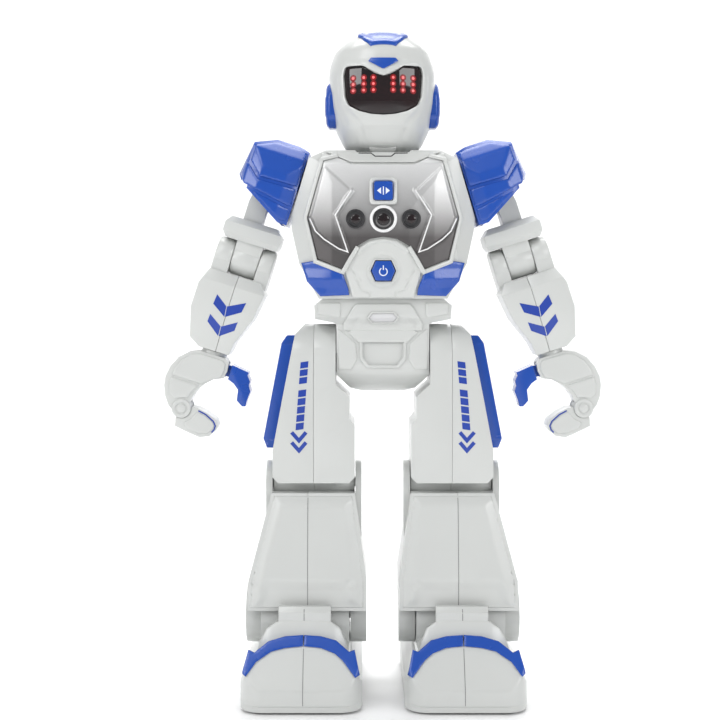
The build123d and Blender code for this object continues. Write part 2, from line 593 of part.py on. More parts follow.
FINGER_OUTLINE = [
    (18.2, -103.6), (17.4, -107.1), (11.3, -108.0), (6.6, -108.5), (2.9, -106.8), (1.1, -103.8), (0.9, -101.8), (2.3, -99.9),
    (6.7, -98.2), (10.7, -97.5), (13.4, -97.9), (15.0, -101.0),
]
with BuildPart() as finger_left:
    prism(ARM_FRONT, FINGER_OUTLINE, -HAND_DEPTH, HAND_DEPTH)
    disc(ARM_FRONT, FINGER_PIVOT, 4.0, -10, 10, mode=Mode.SUBTRACT)
    disc(ARM_FRONT, FINGER_PIVOT, 3.6, -2.5, 2.5)
    prism(ARM_FRONT, [(16.6, -98.4), (12.6, -98.4), (11.0, -104.0), (17.0, -105.5), (17.6, -102.8)], -2.5, 2.5)
    disc(ARM_FRONT, FINGER_PIVOT, 1.2 + FIT, -10, 10, mode=Mode.SUBTRACT)
finger_left.part.label = "finger_left"
export_step(finger_left.part, "parts/finger_left.step")

THUMB_OUTLINE = [
    (2.7, -76.9), (-4.5, -77.8), (-4.4, -79.1), (-6.0, -81.0), (-6.1, -82.9), (-7.4, -84.9), (-7.1, -88.8), (-7.3, -91.2),
    (-5.9, -91.6), (-3.2, -90.0), (-2.4, -85.7), (0.1, -83.8), (2.7, -82.9),
]
with BuildPart() as thumb_left:
    prism(ARM_FRONT, THUMB_OUTLINE, -4.8, 4.8)
    disc(ARM_FRONT, THUMB_PIVOT, 2.6, -1.9, 1.9)
    prism(ARM_FRONT, [(2.0, -77.6), (6.6, -77.3), (6.6, -82.3), (2.0, -82.1)], -1.9, 1.9)
    disc(ARM_FRONT, THUMB_PIVOT, 1.0 + FIT, -10, 10, mode=Mode.SUBTRACT)
thumb_left.part.label = "thumb_left"
export_step(thumb_left.part, "parts/thumb_left.step")

# ---------------------------------------------------------------- legs
THIGH_OUTLINE = [
    (18.7, 147.2), (31.0, 147.2), (34.9, 143.0), (43.6, 97.0), (43.6, 86.6), (41.4, 84.3), (13.4, 84.3), (11.2, 86.6),
    (11.2, 107.4), (13.2, 109.8), (13.2, 118.5), (18.7, 123.5),
]


def thigh_form(grow):
    """Thigh volume, round about the hip axis at its top."""
    with BuildPart() as form:
        prism(FRONT, THIGH_OUTLINE, -30, 30, grow=grow)
        with BuildSketch(SIDE) as side_view:
            with Locations((0, HIP_Z)):
                Circle(THIGH_R + grow)
            Polygon((-14.0 - grow, HIP_Z), (-15.6 - grow, 118), (-15.6 - grow, 100), (-14.4 - grow, 84.3 - grow),
                    (14.4 + grow, 84.3 - grow), (15.6 + grow, 100), (15.6 + grow, 118), (14.0 + grow, HIP_Z), align=None)
        extrude(side_view.sketch, amount=60, mode=Mode.INTERSECT)
    return form.part


THIGH_OUTER = thigh_form(0.0)
with BuildPart() as thigh_left:
    add(THIGH_OUTER)
    add(thigh_form(-WALL), mode=Mode.SUBTRACT)
    disc(SIDE, (0, HIP_Z), 4.6, 18.8, 27.2)
    disc(SIDE, (0, HIP_Z), AXLE_R + FIT, 10, 30.0, mode=Mode.SUBTRACT)
    disc(SIDE, (0, KNEE_Z), KNEE_R, 11.2, 43.6)
    prism(SIDE, [(-KNEE_R, KNEE_Z), (KNEE_R, KNEE_Z), (KNEE_R, 86.1), (-KNEE_R, 86.1)], 13.4, 41.4)
    disc(SIDE, (0, KNEE_Z), 2.0 + FIT, 5, 50, mode=Mode.SUBTRACT)
    disc(SIDE, (0, KNEE_Z), 4.8, 19.5, 35.3, mode=Mode.SUBTRACT)
    block((15.8, 6.0, 8.0), (27.4, 0, 87.0), mode=Mode.SUBTRACT)
    block((SEAM, 60, 100), (THIGH_SEAM_X, 0, 110), mode=Mode.SUBTRACT)
thigh_left.part.label = "thigh_left"
export_step(thigh_left.part, "parts/thigh_left.step")

COVER_OUTLINE = [(34.4, 142.5), (38.4, 142.5), (40.4, 139.5), (47.6, 101.5), (46.4, 97.4), (43.0, 97.4)]
COVER_SIDE = [(-9.0, 101.0), (-6.6, 97.4), (6.6, 97.4), (9.0, 101.0), (8.0, 139.0), (5.0, 142.5), (-5.0, 142.5), (-8.0, 139.0)]
with BuildPart() as thigh_cover_left:
    prism(FRONT, COVER_OUTLINE, -12, 12)
    prism(SIDE, COVER_SIDE, 20, 60, mode=Mode.INTERSECT)
    add(THIGH_OUTER, mode=Mode.SUBTRACT)
thigh_cover_left.part.label = "thigh_cover_left"
export_step(thigh_cover_left.part, "parts/thigh_cover_left.step")

SHIN_OUTLINE = [(11.1, 80.2), (44.1, 80.2), (52.9, 46.4), (53.2, 34.7), (6.5, 34.7), (6.5, 46.4)]
SHIN_SIDE = [
    (-13.6, 80.2), (-14.8, 77.0), (-16.6, 62.0), (-19.0, 44.0), (-19.0, 34.7), (19.0, 34.7), (19.0, 44.0), (16.6, 62.0),
    (14.6, 71.5), (0.0, 80.2),
]


def shin_form(grow, floor_drop):
    """Shin volume that widens to the ankle, with its inner version open underneath."""
    with BuildPart() as form:
        prism(FRONT, SHIN_OUTLINE, -30, 30, grow=grow)
        prism(SIDE, SHIN_SIDE, 0, 60, mode=Mode.INTERSECT, grow=grow)
        if floor_drop:
            block((43.0, 34.4, floor_drop), (29.85, 0, 37.0 - floor_drop / 2))
    return form.part


with BuildPart() as shin_left:
    add(shin_form(0.0, 0.0))
    for near, far in ((8.4, 10.9), (44.0, 46.6)):
        disc(SIDE, (0, KNEE_Z), 8.8, near, far)
        prism(SIDE, [(-8.8, KNEE_Z), (8.8, KNEE_Z), (7.6, 62.0), (-7.6, 62.0)], near, far)
    add(shin_form(-WALL, 10.0), mode=Mode.SUBTRACT)
    disc(SIDE, (0, KNEE_Z), KNEE_R + 0.4, 10.9, 44.0, mode=Mode.SUBTRACT)
    for near, far in ((8.4, 17.0), (38.0, 46.6)):
        disc(SIDE, (0, KNEE_Z), 2.0, near, far)
    for near, far in ((6.5, 12.9), (48.7, 54.5)):
        disc(SIDE, (0, ANKLE_Z), ANKLE_DISC_R, near, far)
    for near, far in ((12.0, 17.6), (44.0, 49.5)):
        disc(SIDE, (0, ANKLE_Z), 2.5, near, far)
    disc(FRONT, (11.6, 45.6), 2.0, 17.9, 25, mode=Mode.SUBTRACT)
    block((SEAM, 60, 80), (SHIN_SEAM_X, 0, 55), mode=Mode.SUBTRACT)
shin_left.part.label = "shin_left"
export_step(shin_left.part, "parts/shin_left.step")

FOOT_ARCH = [
    (8.2, SOLE_Z), (8.2, 11.0), (9.6, 13.0), (13.0, 16.8), (20.0, 22.2), (26.0, 25.0), (30.6, 25.7), (35.2, 25.0), (41.4, 22.2),
    (48.8, 16.8), (53.2, 13.0), (54.9, 11.0), (54.9, SOLE_Z),
]
FOOT_SIDE = [
    (-FOOT_LENGTH / 2, SOLE_Z), (-FOOT_LENGTH / 2, 9.0), (-38.6, 11.5), (-30.0, 26.0), (24.0, 26.0), (33.0, 20.0), (38.6, 12.0),
    (FOOT_LENGTH / 2, 9.0), (FOOT_LENGTH / 2, SOLE_Z),
]


def foot_form(grow, floor_drop):
    """Arched foot volume, with its inner version open underneath."""
    with BuildPart() as form:
        prism(FRONT, FOOT_ARCH, -60, 60, grow=grow)
        prism(SIDE, FOOT_SIDE, 0, 70, mode=Mode.INTERSECT, grow=grow)
        with BuildSketch(UP.offset(-10)) as plan:
            with Locations((FOOT_X, 0)):
                RectangleRounded(FOOT_WIDTH + 2 * grow, FOOT_LENGTH + 2 * grow, FOOT_CORNER_R + grow)
        extrude(plan.sketch, amount=70, mode=Mode.INTERSECT)
        if floor_drop:
            extrude(plan.sketch, amount=floor_drop + 10)
    return form.part


FOOT_OUTER = foot_form(0.0, 0.0)
with BuildPart() as foot_shell_left:
    add(FOOT_OUTER)
    disc(SIDE, (0, ANKLE_Z), TOWER_R, 13.3, 48.3)
    prism(SIDE, [(-26.2, 22.0), (-26.2, 35.6), (-24.6, 37.7), (-22.0, 37.7), (-22.0, 22.0)], 20.4, 40.6)
    add(foot_form(-WALL, 4.0), mode=Mode.SUBTRACT)
    disc(SIDE, (0, ANKLE_Z), TOWER_R - WALL, 15.1, 46.5, mode=Mode.SUBTRACT)
    disc(SIDE, (0, ANKLE_Z), 2.5 + FIT, 10, 52, mode=Mode.SUBTRACT)
    for near in (13.0, 46.5):
        block((2.5, 6.0, 13.0), (near + 1.25, DRIVE_Y, 11.0))
        block((2.5, 5.0, 12.6), (near + 1.25, IDLER_Y, 9.2))
    disc(SIDE, (DRIVE_Y, DRIVE_R), WHEEL_AXLE_R + FIT, 10, 52, mode=Mode.SUBTRACT)
    disc(SIDE, (IDLER_Y, IDLER_R), WHEEL_AXLE_R + FIT, 10, 52, mode=Mode.SUBTRACT)
    disc(FRONT, (11.4, 7.0), 1.9, 39.0, 45, mode=Mode.SUBTRACT)
foot_shell_left.part.label = "foot_shell_left"
export_step(foot_shell_left.part, "parts/foot_shell_left.step")

with BuildPart() as foot_band_left:
    add(foot_form(0.8, 0.0))
    add(FOOT_OUTER, mode=Mode.SUBTRACT)
    block((80, 80, 80), (30, 13.6, 30), mode=Mode.SUBTRACT)
    block((80, 60, 80), (30, -60.2, 30), mode=Mode.SUBTRACT)
    block((80, 80, 20), (30, 0, -4.0), mode=Mode.SUBTRACT)
foot_band_left.part.label = "foot_band_left"
export_step(foot_band_left.part, "parts/foot_band_left.step")

WHEEL_SPANS = ((17.5, 22.5), (39.0, 44.0))
with BuildPart() as foot_sole_left:
    with BuildSketch(UP.offset(SOLE_Z)) as sole_plan:
        with Locations((FOOT_X, 0)):
            RectangleRounded(FOOT_WIDTH - 2 * WALL - 0.2, FOOT_LENGTH - 2 * WALL - 0.2, FOOT_CORNER_R - WALL - 0.1)
    extrude(sole_plan.sketch, amount=1.6)
    for near in (25.5, 30.5):
        block((2.0, 10.2, 7.0), (near + 1.0, 8.6, 5.5))
    disc(SIDE, (MOTOR_Y, MOTOR_Z), 6.02, 20, 40, mode=Mode.SUBTRACT)
    for near, far in WHEEL_SPANS:
        block((far - near + 0.8, 17.4, 6), ((near + far) / 2, DRIVE_Y, 2), mode=Mode.SUBTRACT)
        block((far - near + 0.8, 11.4, 6), ((near + far) / 2, IDLER_Y, 2), mode=Mode.SUBTRACT)
    block((4.2, 13.6, 6), (36.7, DRIVE_Y, 2), mode=Mode.SUBTRACT)
foot_sole_left.part.label = "foot_sole_left"
export_step(foot_sole_left.part, "parts/foot_sole_left.step")

with BuildPart() as drive_wheels_left:
    for near, far in WHEEL_SPANS:
        disc(SIDE, (DRIVE_Y, DRIVE_R), DRIVE_R, near, far)
        disc(SIDE, (DRIVE_Y, DRIVE_R), 5.6, near - 1, near + 1.2, mode=Mode.SUBTRACT)
        disc(SIDE, (DRIVE_Y, DRIVE_R), 5.6, far - 1.2, far + 1, mode=Mode.SUBTRACT)
        disc(SIDE, (DRIVE_Y, DRIVE_R), 2.6, near, far)
    toothed(SIDE, (DRIVE_Y, DRIVE_R), 6.0, 24, 35.5, 38.0)
    disc(SIDE, (DRIVE_Y, DRIVE_R), WHEEL_AXLE_R, 12.4, 49.6)
drive_wheels_left.part.label = "drive_wheels_left"
export_step(drive_wheels_left.part, "parts/drive_wheels_left.step")

with BuildPart() as idler_wheels_left:
    for near, far in WHEEL_SPANS:
        disc(SIDE, (IDLER_Y, IDLER_R), IDLER_R, near, far)
        disc(SIDE, (IDLER_Y, IDLER_R), 3.4, near - 1, near + 1.0, mode=Mode.SUBTRACT)
        disc(SIDE, (IDLER_Y, IDLER_R), 3.4, far - 1.0, far + 1, mode=Mode.SUBTRACT)
    disc(SIDE, (IDLER_Y, IDLER_R), WHEEL_AXLE_R, 12.4, 49.6)
idler_wheels_left.part.label = "idler_wheels_left"
export_step(idler_wheels_left.part, "parts/idler_wheels_left.step")

with BuildPart() as drive_motor_left:
    disc(SIDE, (MOTOR_Y, MOTOR_Z), 6.0, 24.0, 33.6)
    disc(SIDE, (MOTOR_Y, MOTOR_Z), 2.4, 33.6, 34.4)
    disc(SIDE, (MOTOR_Y, MOTOR_Z), 2.4, 23.0, 24.0)
    disc(SIDE, (MOTOR_Y, MOTOR_Z), 0.8, 30.5, 36, mode=Mode.SUBTRACT)
drive_motor_left.part.label = "drive_motor_left"
export_step(drive_motor_left.part, "parts/drive_motor_left.step")

with BuildPart() as motor_pinion_left:
    toothed(SIDE, (MOTOR_Y, MOTOR_Z), 2.0, 8, 35.4, 38.1)
    disc(SIDE, (MOTOR_Y, MOTOR_Z), 0.75, 30.6, 38.1)
motor_pinion_left.part.label = "motor_pinion_left"
export_step(motor_pinion_left.part, "parts/motor_pinion_left.step")

# ---------------------------------------------------------------- right-hand limbs
with BuildPart() as shoulder_cap_right:
    mirror(shoulder_cap_left.part, about=Plane.YZ)
shoulder_cap_right.part.label = "shoulder_cap_right"
export_step(shoulder_cap_right.part, "parts/shoulder_cap_right.step")

with BuildPart() as upper_arm_right:
    mirror(upper_arm_left.part, about=Plane.YZ)
upper_arm_right.part.label = "upper_arm_right"
export_step(upper_arm_right.part, "parts/upper_arm_right.step")

with BuildPart() as forearm_right:
    mirror(forearm_left.part, about=Plane.YZ)
forearm_right.part.label = "forearm_right"
export_step(forearm_right.part, "parts/forearm_right.step")

with BuildPart() as hand_right:
    mirror(hand_left.part, about=Plane.YZ)
hand_right.part.label = "hand_right"
export_step(hand_right.part, "parts/hand_right.step")

with BuildPart() as finger_right:
    mirror(finger_left.part, about=Plane.YZ)
finger_right.part.label = "finger_right"
export_step(finger_right.part, "parts/finger_right.step")

with BuildPart() as thumb_right:
    mirror(thumb_left.part, about=Plane.YZ)
thumb_right.part.label = "thumb_right"
export_step(thumb_right.part, "parts/thumb_right.step")

with BuildPart() as thigh_right:
    mirror(thigh_left.part, about=Plane.YZ)
thigh_right.part.label = "thigh_right"
export_step(thigh_right.part, "parts/thigh_right.step")

with BuildPart() as thigh_cover_right:
    mirror(thigh_cover_left.part, about=Plane.YZ)
thigh_cover_right.part.label = "thigh_cover_right"
export_step(thigh_cover_right.part, "parts/thigh_cover_right.step")

with BuildPart() as shin_right:
    mirror(shin_left.part, about=Plane.YZ)
shin_right.part.label = "shin_right"
export_step(shin_right.part, "parts/shin_right.step")

with BuildPart() as foot_shell_right:
    mirror(foot_shell_left.part, about=Plane.YZ)
foot_shell_right.part.label = "foot_shell_right"
export_step(foot_shell_right.part, "parts/foot_shell_right.step")

with BuildPart() as foot_band_right:
    mirror(foot_band_left.part, about=Plane.YZ)
foot_band_right.part.label = "foot_band_right"
export_step(foot_band_right.part, "parts/foot_band_right.step")

with BuildPart() as foot_sole_right:
    mirror(foot_sole_left.part, about=Plane.YZ)
foot_sole_right.part.label = "foot_sole_right"
export_step(foot_sole_right.part, "parts/foot_sole_right.step")

with BuildPart() as drive_wheels_right:
    mirror(drive_wheels_left.part, about=Plane.YZ)
drive_wheels_right.part.label = "drive_wheels_right"
export_step(drive_wheels_right.part, "parts/drive_wheels_right.step")

with BuildPart() as idler_wheels_right:
    mirror(idler_wheels_left.part, about=Plane.YZ)
idler_wheels_right.part.label = "idler_wheels_right"
export_step(idler_wheels_right.part, "parts/idler_wheels_right.step")

with BuildPart() as drive_motor_right:
    mirror(drive_motor_left.part, about=Plane.YZ)
drive_motor_right.part.label = "drive_motor_right"
export_step(drive_motor_right.part, "parts/drive_motor_right.step")

with BuildPart() as motor_pinion_right:
    mirror(motor_pinion_left.part, about=Plane.YZ)
motor_pinion_right.part.label = "motor_pinion_right"
export_step(motor_pinion_right.part, "parts/motor_pinion_right.step")
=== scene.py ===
"""Looks of the walking humanoid toy robot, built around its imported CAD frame."""

import json
import math

import bmesh
import bpy
import numpy as np
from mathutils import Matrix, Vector, geometry


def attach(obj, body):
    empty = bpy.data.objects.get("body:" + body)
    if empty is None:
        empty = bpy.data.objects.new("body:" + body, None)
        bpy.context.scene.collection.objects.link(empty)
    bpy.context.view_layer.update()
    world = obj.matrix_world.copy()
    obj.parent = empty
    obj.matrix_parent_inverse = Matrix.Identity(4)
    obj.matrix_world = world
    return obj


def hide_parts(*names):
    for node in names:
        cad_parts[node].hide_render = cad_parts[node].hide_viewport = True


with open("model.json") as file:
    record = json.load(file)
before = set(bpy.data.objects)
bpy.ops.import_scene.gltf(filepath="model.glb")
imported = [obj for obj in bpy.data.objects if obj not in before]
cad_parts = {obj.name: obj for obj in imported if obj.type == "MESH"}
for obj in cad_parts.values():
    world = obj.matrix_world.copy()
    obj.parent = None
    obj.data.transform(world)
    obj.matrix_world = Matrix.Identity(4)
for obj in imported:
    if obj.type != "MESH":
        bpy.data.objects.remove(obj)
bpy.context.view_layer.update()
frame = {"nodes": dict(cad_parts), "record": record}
NODES = frame["nodes"]
MM = 0.001
SIDES = ((1, "left"), (-1, "right"))

# --- camera
SCENE = bpy.context.scene
CAMERA_DISTANCE = 0.5456
CAMERA_HEIGHT = 0.1607
CAMERA_SIDE = -0.00905
CAMERA_DROP = math.radians(1.16)
CAMERA_LENS = 67.4
CAMERA_SHIFT = -0.0595

camera_data = bpy.data.cameras.new("camera")
camera_data.lens = CAMERA_LENS
camera_data.sensor_width = 36.0
camera_data.shift_y = CAMERA_SHIFT
camera = bpy.data.objects.new("camera", camera_data)
camera.location = (CAMERA_SIDE, -CAMERA_DISTANCE, CAMERA_HEIGHT)
camera.rotation_euler = (math.radians(90) - CAMERA_DROP, 0, 0)
SCENE.collection.objects.link(camera)
SCENE.camera = camera

# --- materials
GRAIN_SCALE = 1500.0
PLASTIC_IOR = 1.52


def node_setup(name):
    """New node material with its shader and a positions source."""
    material = bpy.data.materials.new(name)
    material.use_nodes = True
    tree = material.node_tree
    shader = tree.nodes["Principled BSDF"]
    place = tree.nodes.new("ShaderNodeTexCoord")
    return material, tree, shader, place.outputs["Object"]


def preset(node, **values):
    """Set constant inputs of a node, with _ for a space in their names."""
    for name, value in values.items():
        node.inputs[name.replace("_", " ")].default_value = value


def noise(tree, place, scale, detail=3.0):
    """Noise pattern on the surface, scale in cycles per metre."""
    pattern = tree.nodes.new("ShaderNodeTexNoise")
    preset(pattern, Scale=scale, Detail=detail, Roughness=0.5)
    tree.links.new(place, pattern.inputs["Vector"])
    return pattern.outputs["Fac"]


def ramp(tree, value, low, high, start=0.35, stop=0.65):
    """Map a 0..1 pattern on to a range."""
    mapper = tree.nodes.new("ShaderNodeMapRange")
    preset(mapper, From_Min=start, From_Max=stop, To_Min=low, To_Max=high)
    tree.links.new(value, mapper.inputs["Value"])
    return mapper.outputs["Result"]


def colour_mix(tree, factor, first, second):
    """Blend two colours by a pattern."""
    mixer = tree.nodes.new("ShaderNodeMix")
    mixer.data_type = "RGBA"
    tree.links.new(factor, mixer.inputs[0])
    for socket, value in ((6, first), (7, second)):
        if isinstance(value, tuple):
            mixer.inputs[socket].default_value = (*value, 1)
        else:
            tree.links.new(value, mixer.inputs[socket])
    return mixer.outputs[2]


def bump(tree, shader, height, strength, distance):
    """Fine surface relief."""
    relief = tree.nodes.new("ShaderNodeBump")
    preset(relief, Strength=strength, Distance=distance)
    tree.links.new(height, relief.inputs["Height"])
    tree.links.new(relief.outputs["Normal"], shader.inputs["Normal"])


def moulded(name, colour, shade, rough, coat, wear=None, relief=0.00001, metal=0.0, coat_rough=0.12):
    """Moulded plastic: slow colour drift, uneven gloss, fine mould texture and lighter worn edges."""
    material, tree, shader, place = node_setup(name)
    drift = ramp(tree, noise(tree, place, 38.0), 0.0, 1.0, 0.15, 0.85)
    colour_out = colour_mix(tree, drift, colour, shade)
    if wear:
        pointed = tree.nodes.new("ShaderNodeNewGeometry").outputs["Pointiness"]
        edge = ramp(tree, pointed, 0.0, 0.5, 0.515, 0.60)
        breakup = ramp(tree, noise(tree, place, 420.0, 5.0), 0.0, 1.0, 0.42, 0.62)
        worn = tree.nodes.new("ShaderNodeMath")
        worn.operation = "MULTIPLY"
        tree.links.new(edge, worn.inputs[0])
        tree.links.new(breakup, worn.inputs[1])
        colour_out = colour_mix(tree, worn.outputs[0], colour_out, wear)
    tree.links.new(colour_out, shader.inputs["Base Color"])
    smudge = noise(tree, place, 70.0)
    tree.links.new(ramp(tree, smudge, *rough, 0.15, 0.85), shader.inputs["Roughness"])
    preset(shader, Coat_Weight=coat, Coat_Roughness=coat_rough, Metallic=metal, IOR=PLASTIC_IOR)
    bump(tree, shader, noise(tree, place, GRAIN_SCALE, 2.0), 0.18, relief)
    return material


WHITE = moulded("white_abs", (0.572, 0.584, 0.568), (0.560, 0.572, 0.557), rough=(0.29, 0.34), coat=0.2)
WHITE_INNER = moulded("white_inner", (0.66, 0.66, 0.67), (0.58, 0.58, 0.59), rough=(0.45, 0.6), coat=0.0)
BLUE = moulded("blue_abs", (0.003, 0.066, 0.40), (0.003, 0.058, 0.36), rough=(0.24, 0.29), coat=0.45,
               coat_rough=0.24)
BLACK = moulded("black_abs", (0.012, 0.012, 0.014), (0.02, 0.02, 0.022), rough=(0.4, 0.55), coat=0.0,
                wear=(0.05, 0.05, 0.05))
RUBBER = moulded("black_rubber", (0.022, 0.022, 0.024), (0.034, 0.033, 0.033), rough=(0.62, 0.8), coat=0.0,
                 relief=0.00006)
DECAL = moulded("blue_print", (0.012, 0.05, 0.36), (0.010, 0.04, 0.30), rough=(0.32, 0.44), coat=0.1)
PRINT_WHITE = moulded("white_print", (0.80, 0.83, 0.88), (0.70, 0.74, 0.82), rough=(0.35, 0.5), coat=0.0)
SILVER_EDGE = moulded("silver_edge", (0.86, 0.86, 0.86), (0.80, 0.80, 0.80), rough=(0.28, 0.36), coat=0.3,
                      metal=0.15)
STEEL = moulded("plated_steel", (0.52, 0.52, 0.54), (0.42, 0.42, 0.44), rough=(0.28, 0.42), coat=0.0,
                metal=1.0)
BRASS = moulded("brass", (0.62, 0.44, 0.16), (0.52, 0.36, 0.12), rough=(0.3, 0.45), coat=0.0, metal=1.0)
BOARD = moulded("circuit_board", (0.015, 0.13, 0.05), (0.01, 0.09, 0.035), rough=(0.35, 0.5), coat=0.3)
# Painted shadow: grey that stands for the shade in the moulded seam grooves of the shins and feet.
SEAM_SHADE = moulded("seam_shadow", (0.22, 0.22, 0.22), (0.17, 0.17, 0.17), rough=(0.5, 0.6), coat=0.0)
CELL = moulded("cell_wrap", (0.03, 0.16, 0.10), (0.025, 0.13, 0.08), rough=(0.22, 0.34), coat=0.5)


def silver_lacquer():
    """Silver paint with fine flakes and a clear coat, with painted shade low on the plate and painted light
    at its top.
    """
    material, tree, shader, place = node_setup("silver_lacquer")
    flakes = tree.nodes.new("ShaderNodeTexVoronoi")
    flakes.inputs["Scale"].default_value = 5200.0
    tree.links.new(place, flakes.inputs["Vector"])
    cloud = ramp(tree, noise(tree, place, 45.0), 0.0, 1.0)
    split = tree.nodes.new("ShaderNodeSeparateXYZ")
    tree.links.new(place, split.inputs["Vector"])
    # Painted shade and light: the silver runs from dark low on the plate to bright at its top, as the light
    # falls from above.
    painted_light_share = ramp(tree, split.outputs["Z"], 0.0, 1.0, 0.181, 0.209)
    painted_shade_silver = colour_mix(tree, cloud, (0.11, 0.102, 0.102), (0.095, 0.09, 0.09))
    painted_lit_silver = colour_mix(tree, cloud, (0.74, 0.745, 0.74), (0.70, 0.705, 0.70))
    base = colour_mix(tree, painted_light_share, painted_shade_silver, painted_lit_silver)
    # The paint's flakes are painted as lighter glints, and they only show in the painted light at the top.
    flake_glint = ramp(tree, flakes.outputs["Distance"], 0.0, 0.25, 0.0, 0.8)
    glinting_flakes = colour_mix(tree, flake_glint, base, (0.86, 0.86, 0.87))
    tree.links.new(colour_mix(tree, painted_light_share, base, glinting_flakes), shader.inputs["Base Color"])
    tree.links.new(ramp(tree, noise(tree, place, 210.0, 4.0), 0.44, 0.48, 0.15, 0.85),
                   shader.inputs["Roughness"])
    preset(shader, Metallic=0.7, Coat_Weight=0.25, Coat_Roughness=0.32)
    bump(tree, shader, noise(tree, place, GRAIN_SCALE, 2.0), 0.1, 0.000005)
    return material


def dark_window():
    """Smoked window, near black and very glossy, with a faint red reflection painted in patches."""
    material, tree, shader, place = node_setup("smoked_window")
    # Painted reflection: faint red patches mixed into the near-black colour.
    red_reflection = ramp(tree, noise(tree, place, 60.0), 0.0, 1.0)
    tree.links.new(colour_mix(tree, red_reflection, (0.006, 0.004, 0.005), (0.016, 0.005, 0.006)),
                   shader.inputs["Base Color"])
    tree.links.new(ramp(tree, noise(tree, place, 300.0), 0.035, 0.07), shader.inputs["Roughness"])
    preset(shader, Coat_Weight=0.25, Coat_Roughness=0.02)
    return material


def lit_dot(name, colour, strength, body, shade):
    """Glowing colour with a faint grain, for the diodes and for the painted glow round them."""
    material, tree, shader, place = node_setup(name)
    glow = ramp(tree, noise(tree, place, 900.0), 0.0, 1.0)
    tree.links.new(colour_mix(tree, glow, body, shade), shader.inputs["Base Color"])
    preset(shader, Emission_Color=(*colour, 1), Emission_Strength=strength, Roughness=0.3)
    return material


SILVER = silver_lacquer()
WINDOW = dark_window()
LED = lit_dot("red_diode", (1.0, 0.16, 0.17), 1.15, (0.4, 0.05, 0.05), (0.5, 0.08, 0.08))
# The red halo is a painted glow: the diodes' light spread round them in the window.
LED_HALO = lit_dot("red_halo", (0.26, 0.001, 0.004), 0.85, (0.03, 0.001, 0.001), (0.05, 0.001, 0.001))

# --- carried CAD nodes
NODE_MATERIALS = {
    "white_shell": WHITE, "blue_trim": BLUE, "silver_paint": SILVER, "black_gloss": WINDOW,
    "dark_plastic": BLACK, "red_led": LED, "circuit_board": BOARD, "battery_wrap": CELL,
    "steel": STEEL, "brass_gear": BRASS,
}
SLOT_OF = {row["node"]: row["material_slot"] for row in frame["record"]["subparts"]}


def round_edges(obj, width, segments=3, angle=35.0):
    """Round the hard edges of a piece."""
    rounding = obj.modifiers.new("rounding", "BEVEL")
    rounding.width = width * MM
    rounding.segments = segments
    rounding.limit_method = "ANGLE"
    rounding.angle_limit = math.radians(angle)
    rounding.harden_normals = True
    return rounding


def soften(obj, width, planar):
    """Merge flat facets (unless planar is 0), then round the hard edges of a moulded part."""
    weld = obj.modifiers.new("weld", "WELD")
    weld.merge_threshold = 0.00001
    if planar:
        flat = obj.modifiers.new("flat", "DECIMATE")
        flat.decimate_type = "DISSOLVE"
        flat.angle_limit = math.radians(planar)
    rounding = round_edges(obj, width, angle=28.0)
    rounding.harden_normals = planar > 0
    rounding.miter_outer = "MITER_ARC"
    for polygon in obj.data.polygons:
        polygon.use_smooth = planar > 0


for node_name, node in NODES.items():
    chosen = RUBBER if "wheels" in node_name else NODE_MATERIALS[SLOT_OF[node_name]]
    if node.data.materials:
        for index in range(len(node.data.materials)):
            node.data.materials[index] = chosen
    else:
        node.data.materials.append(chosen)

ROUNDING = {"thigh": 0.9, "shin": 0.9, "foot_shell": 1.0, "forearm": 0.9, "upper_arm": 0.7,
            "shoulder_cap": 0.9}
SMALL_ROUNDING = 0.35
FLAT_ANGLE = 1.2
SLOTTED = ("torso_rear_shell", "battery_cover")
for node_name, node in NODES.items():
    kind = node_name.replace("_left", "").replace("_right", "")
    soften(node, ROUNDING.get(kind, SMALL_ROUNDING), 0 if kind in SLOTTED else FLAT_ANGLE)


def mesh_piece(name, points, faces, material, body, replaced=(), smooth=True, merge=0.0):
    """New piece from millimetre points, with outward faces, riding on a body."""
    mesh = bpy.data.meshes.new(name)
    mesh.from_pydata([tuple(float(c) * MM for c in point) for point in points], [], faces)
    mesh.update()
    shape = bmesh.new()
    shape.from_mesh(mesh)
    if merge:
        bmesh.ops.remove_doubles(shape, verts=shape.verts, dist=merge * MM)
    bmesh.ops.recalc_face_normals(shape, faces=shape.faces)
    for face in shape.faces:
        face.smooth = smooth
    shape.to_mesh(mesh)
    shape.free()
    mesh.materials.append(material)
    obj = bpy.data.objects.new(name, mesh)
    SCENE.collection.objects.link(obj)
    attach(obj, body)
    if replaced:
        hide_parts(*replaced)
    return obj


def mirrored(points):
    """Right-hand outline, top to bottom, closed by its mirror image."""
    return points + [(-a, b) for a, b in reversed(points)]


def flip(points):
    """Outline reflected to the other side."""
    return [(-a, b) for a, b in reversed(points)]


def on_side(side, points):
    """Outline put on one side, in the same order."""
    return [(side * a, b) for a, b in points]


def resample(loop, step):
    """Closed outline with its corners kept and its runs divided."""
    result = []
    for index, start in enumerate(loop):
        end = loop[(index + 1) % len(loop)]
        run = math.dist(start, end)
        parts = max(1, int(round(run / step)))
        for part in range(parts):
            share = part / parts
            result.append((start[0] + (end[0] - start[0]) * share, start[1] + (end[1] - start[1]) * share))
    return result


def rounded(loop, radius, parts=5):
    """Closed outline with its corners rounded."""
    result = []
    count = len(loop)
    for index in range(count):
        before, here, after = (np.array(loop[(index + k) % count], float) for k in (-1, 0, 1))
        reach_in = min(radius, 0.45 * np.linalg.norm(before - here))
        reach_out = min(radius, 0.45 * np.linalg.norm(after - here))
        start = here + (before - here) / max(np.linalg.norm(before - here), 1e-9) * reach_in
        end = here + (after - here) / max(np.linalg.norm(after - here), 1e-9) * reach_out
        for part in range(parts + 1):
            t = part / parts
            result.append(tuple((1 - t) ** 2 * start + 2 * t * (1 - t) * here + t * t * end))
    return result


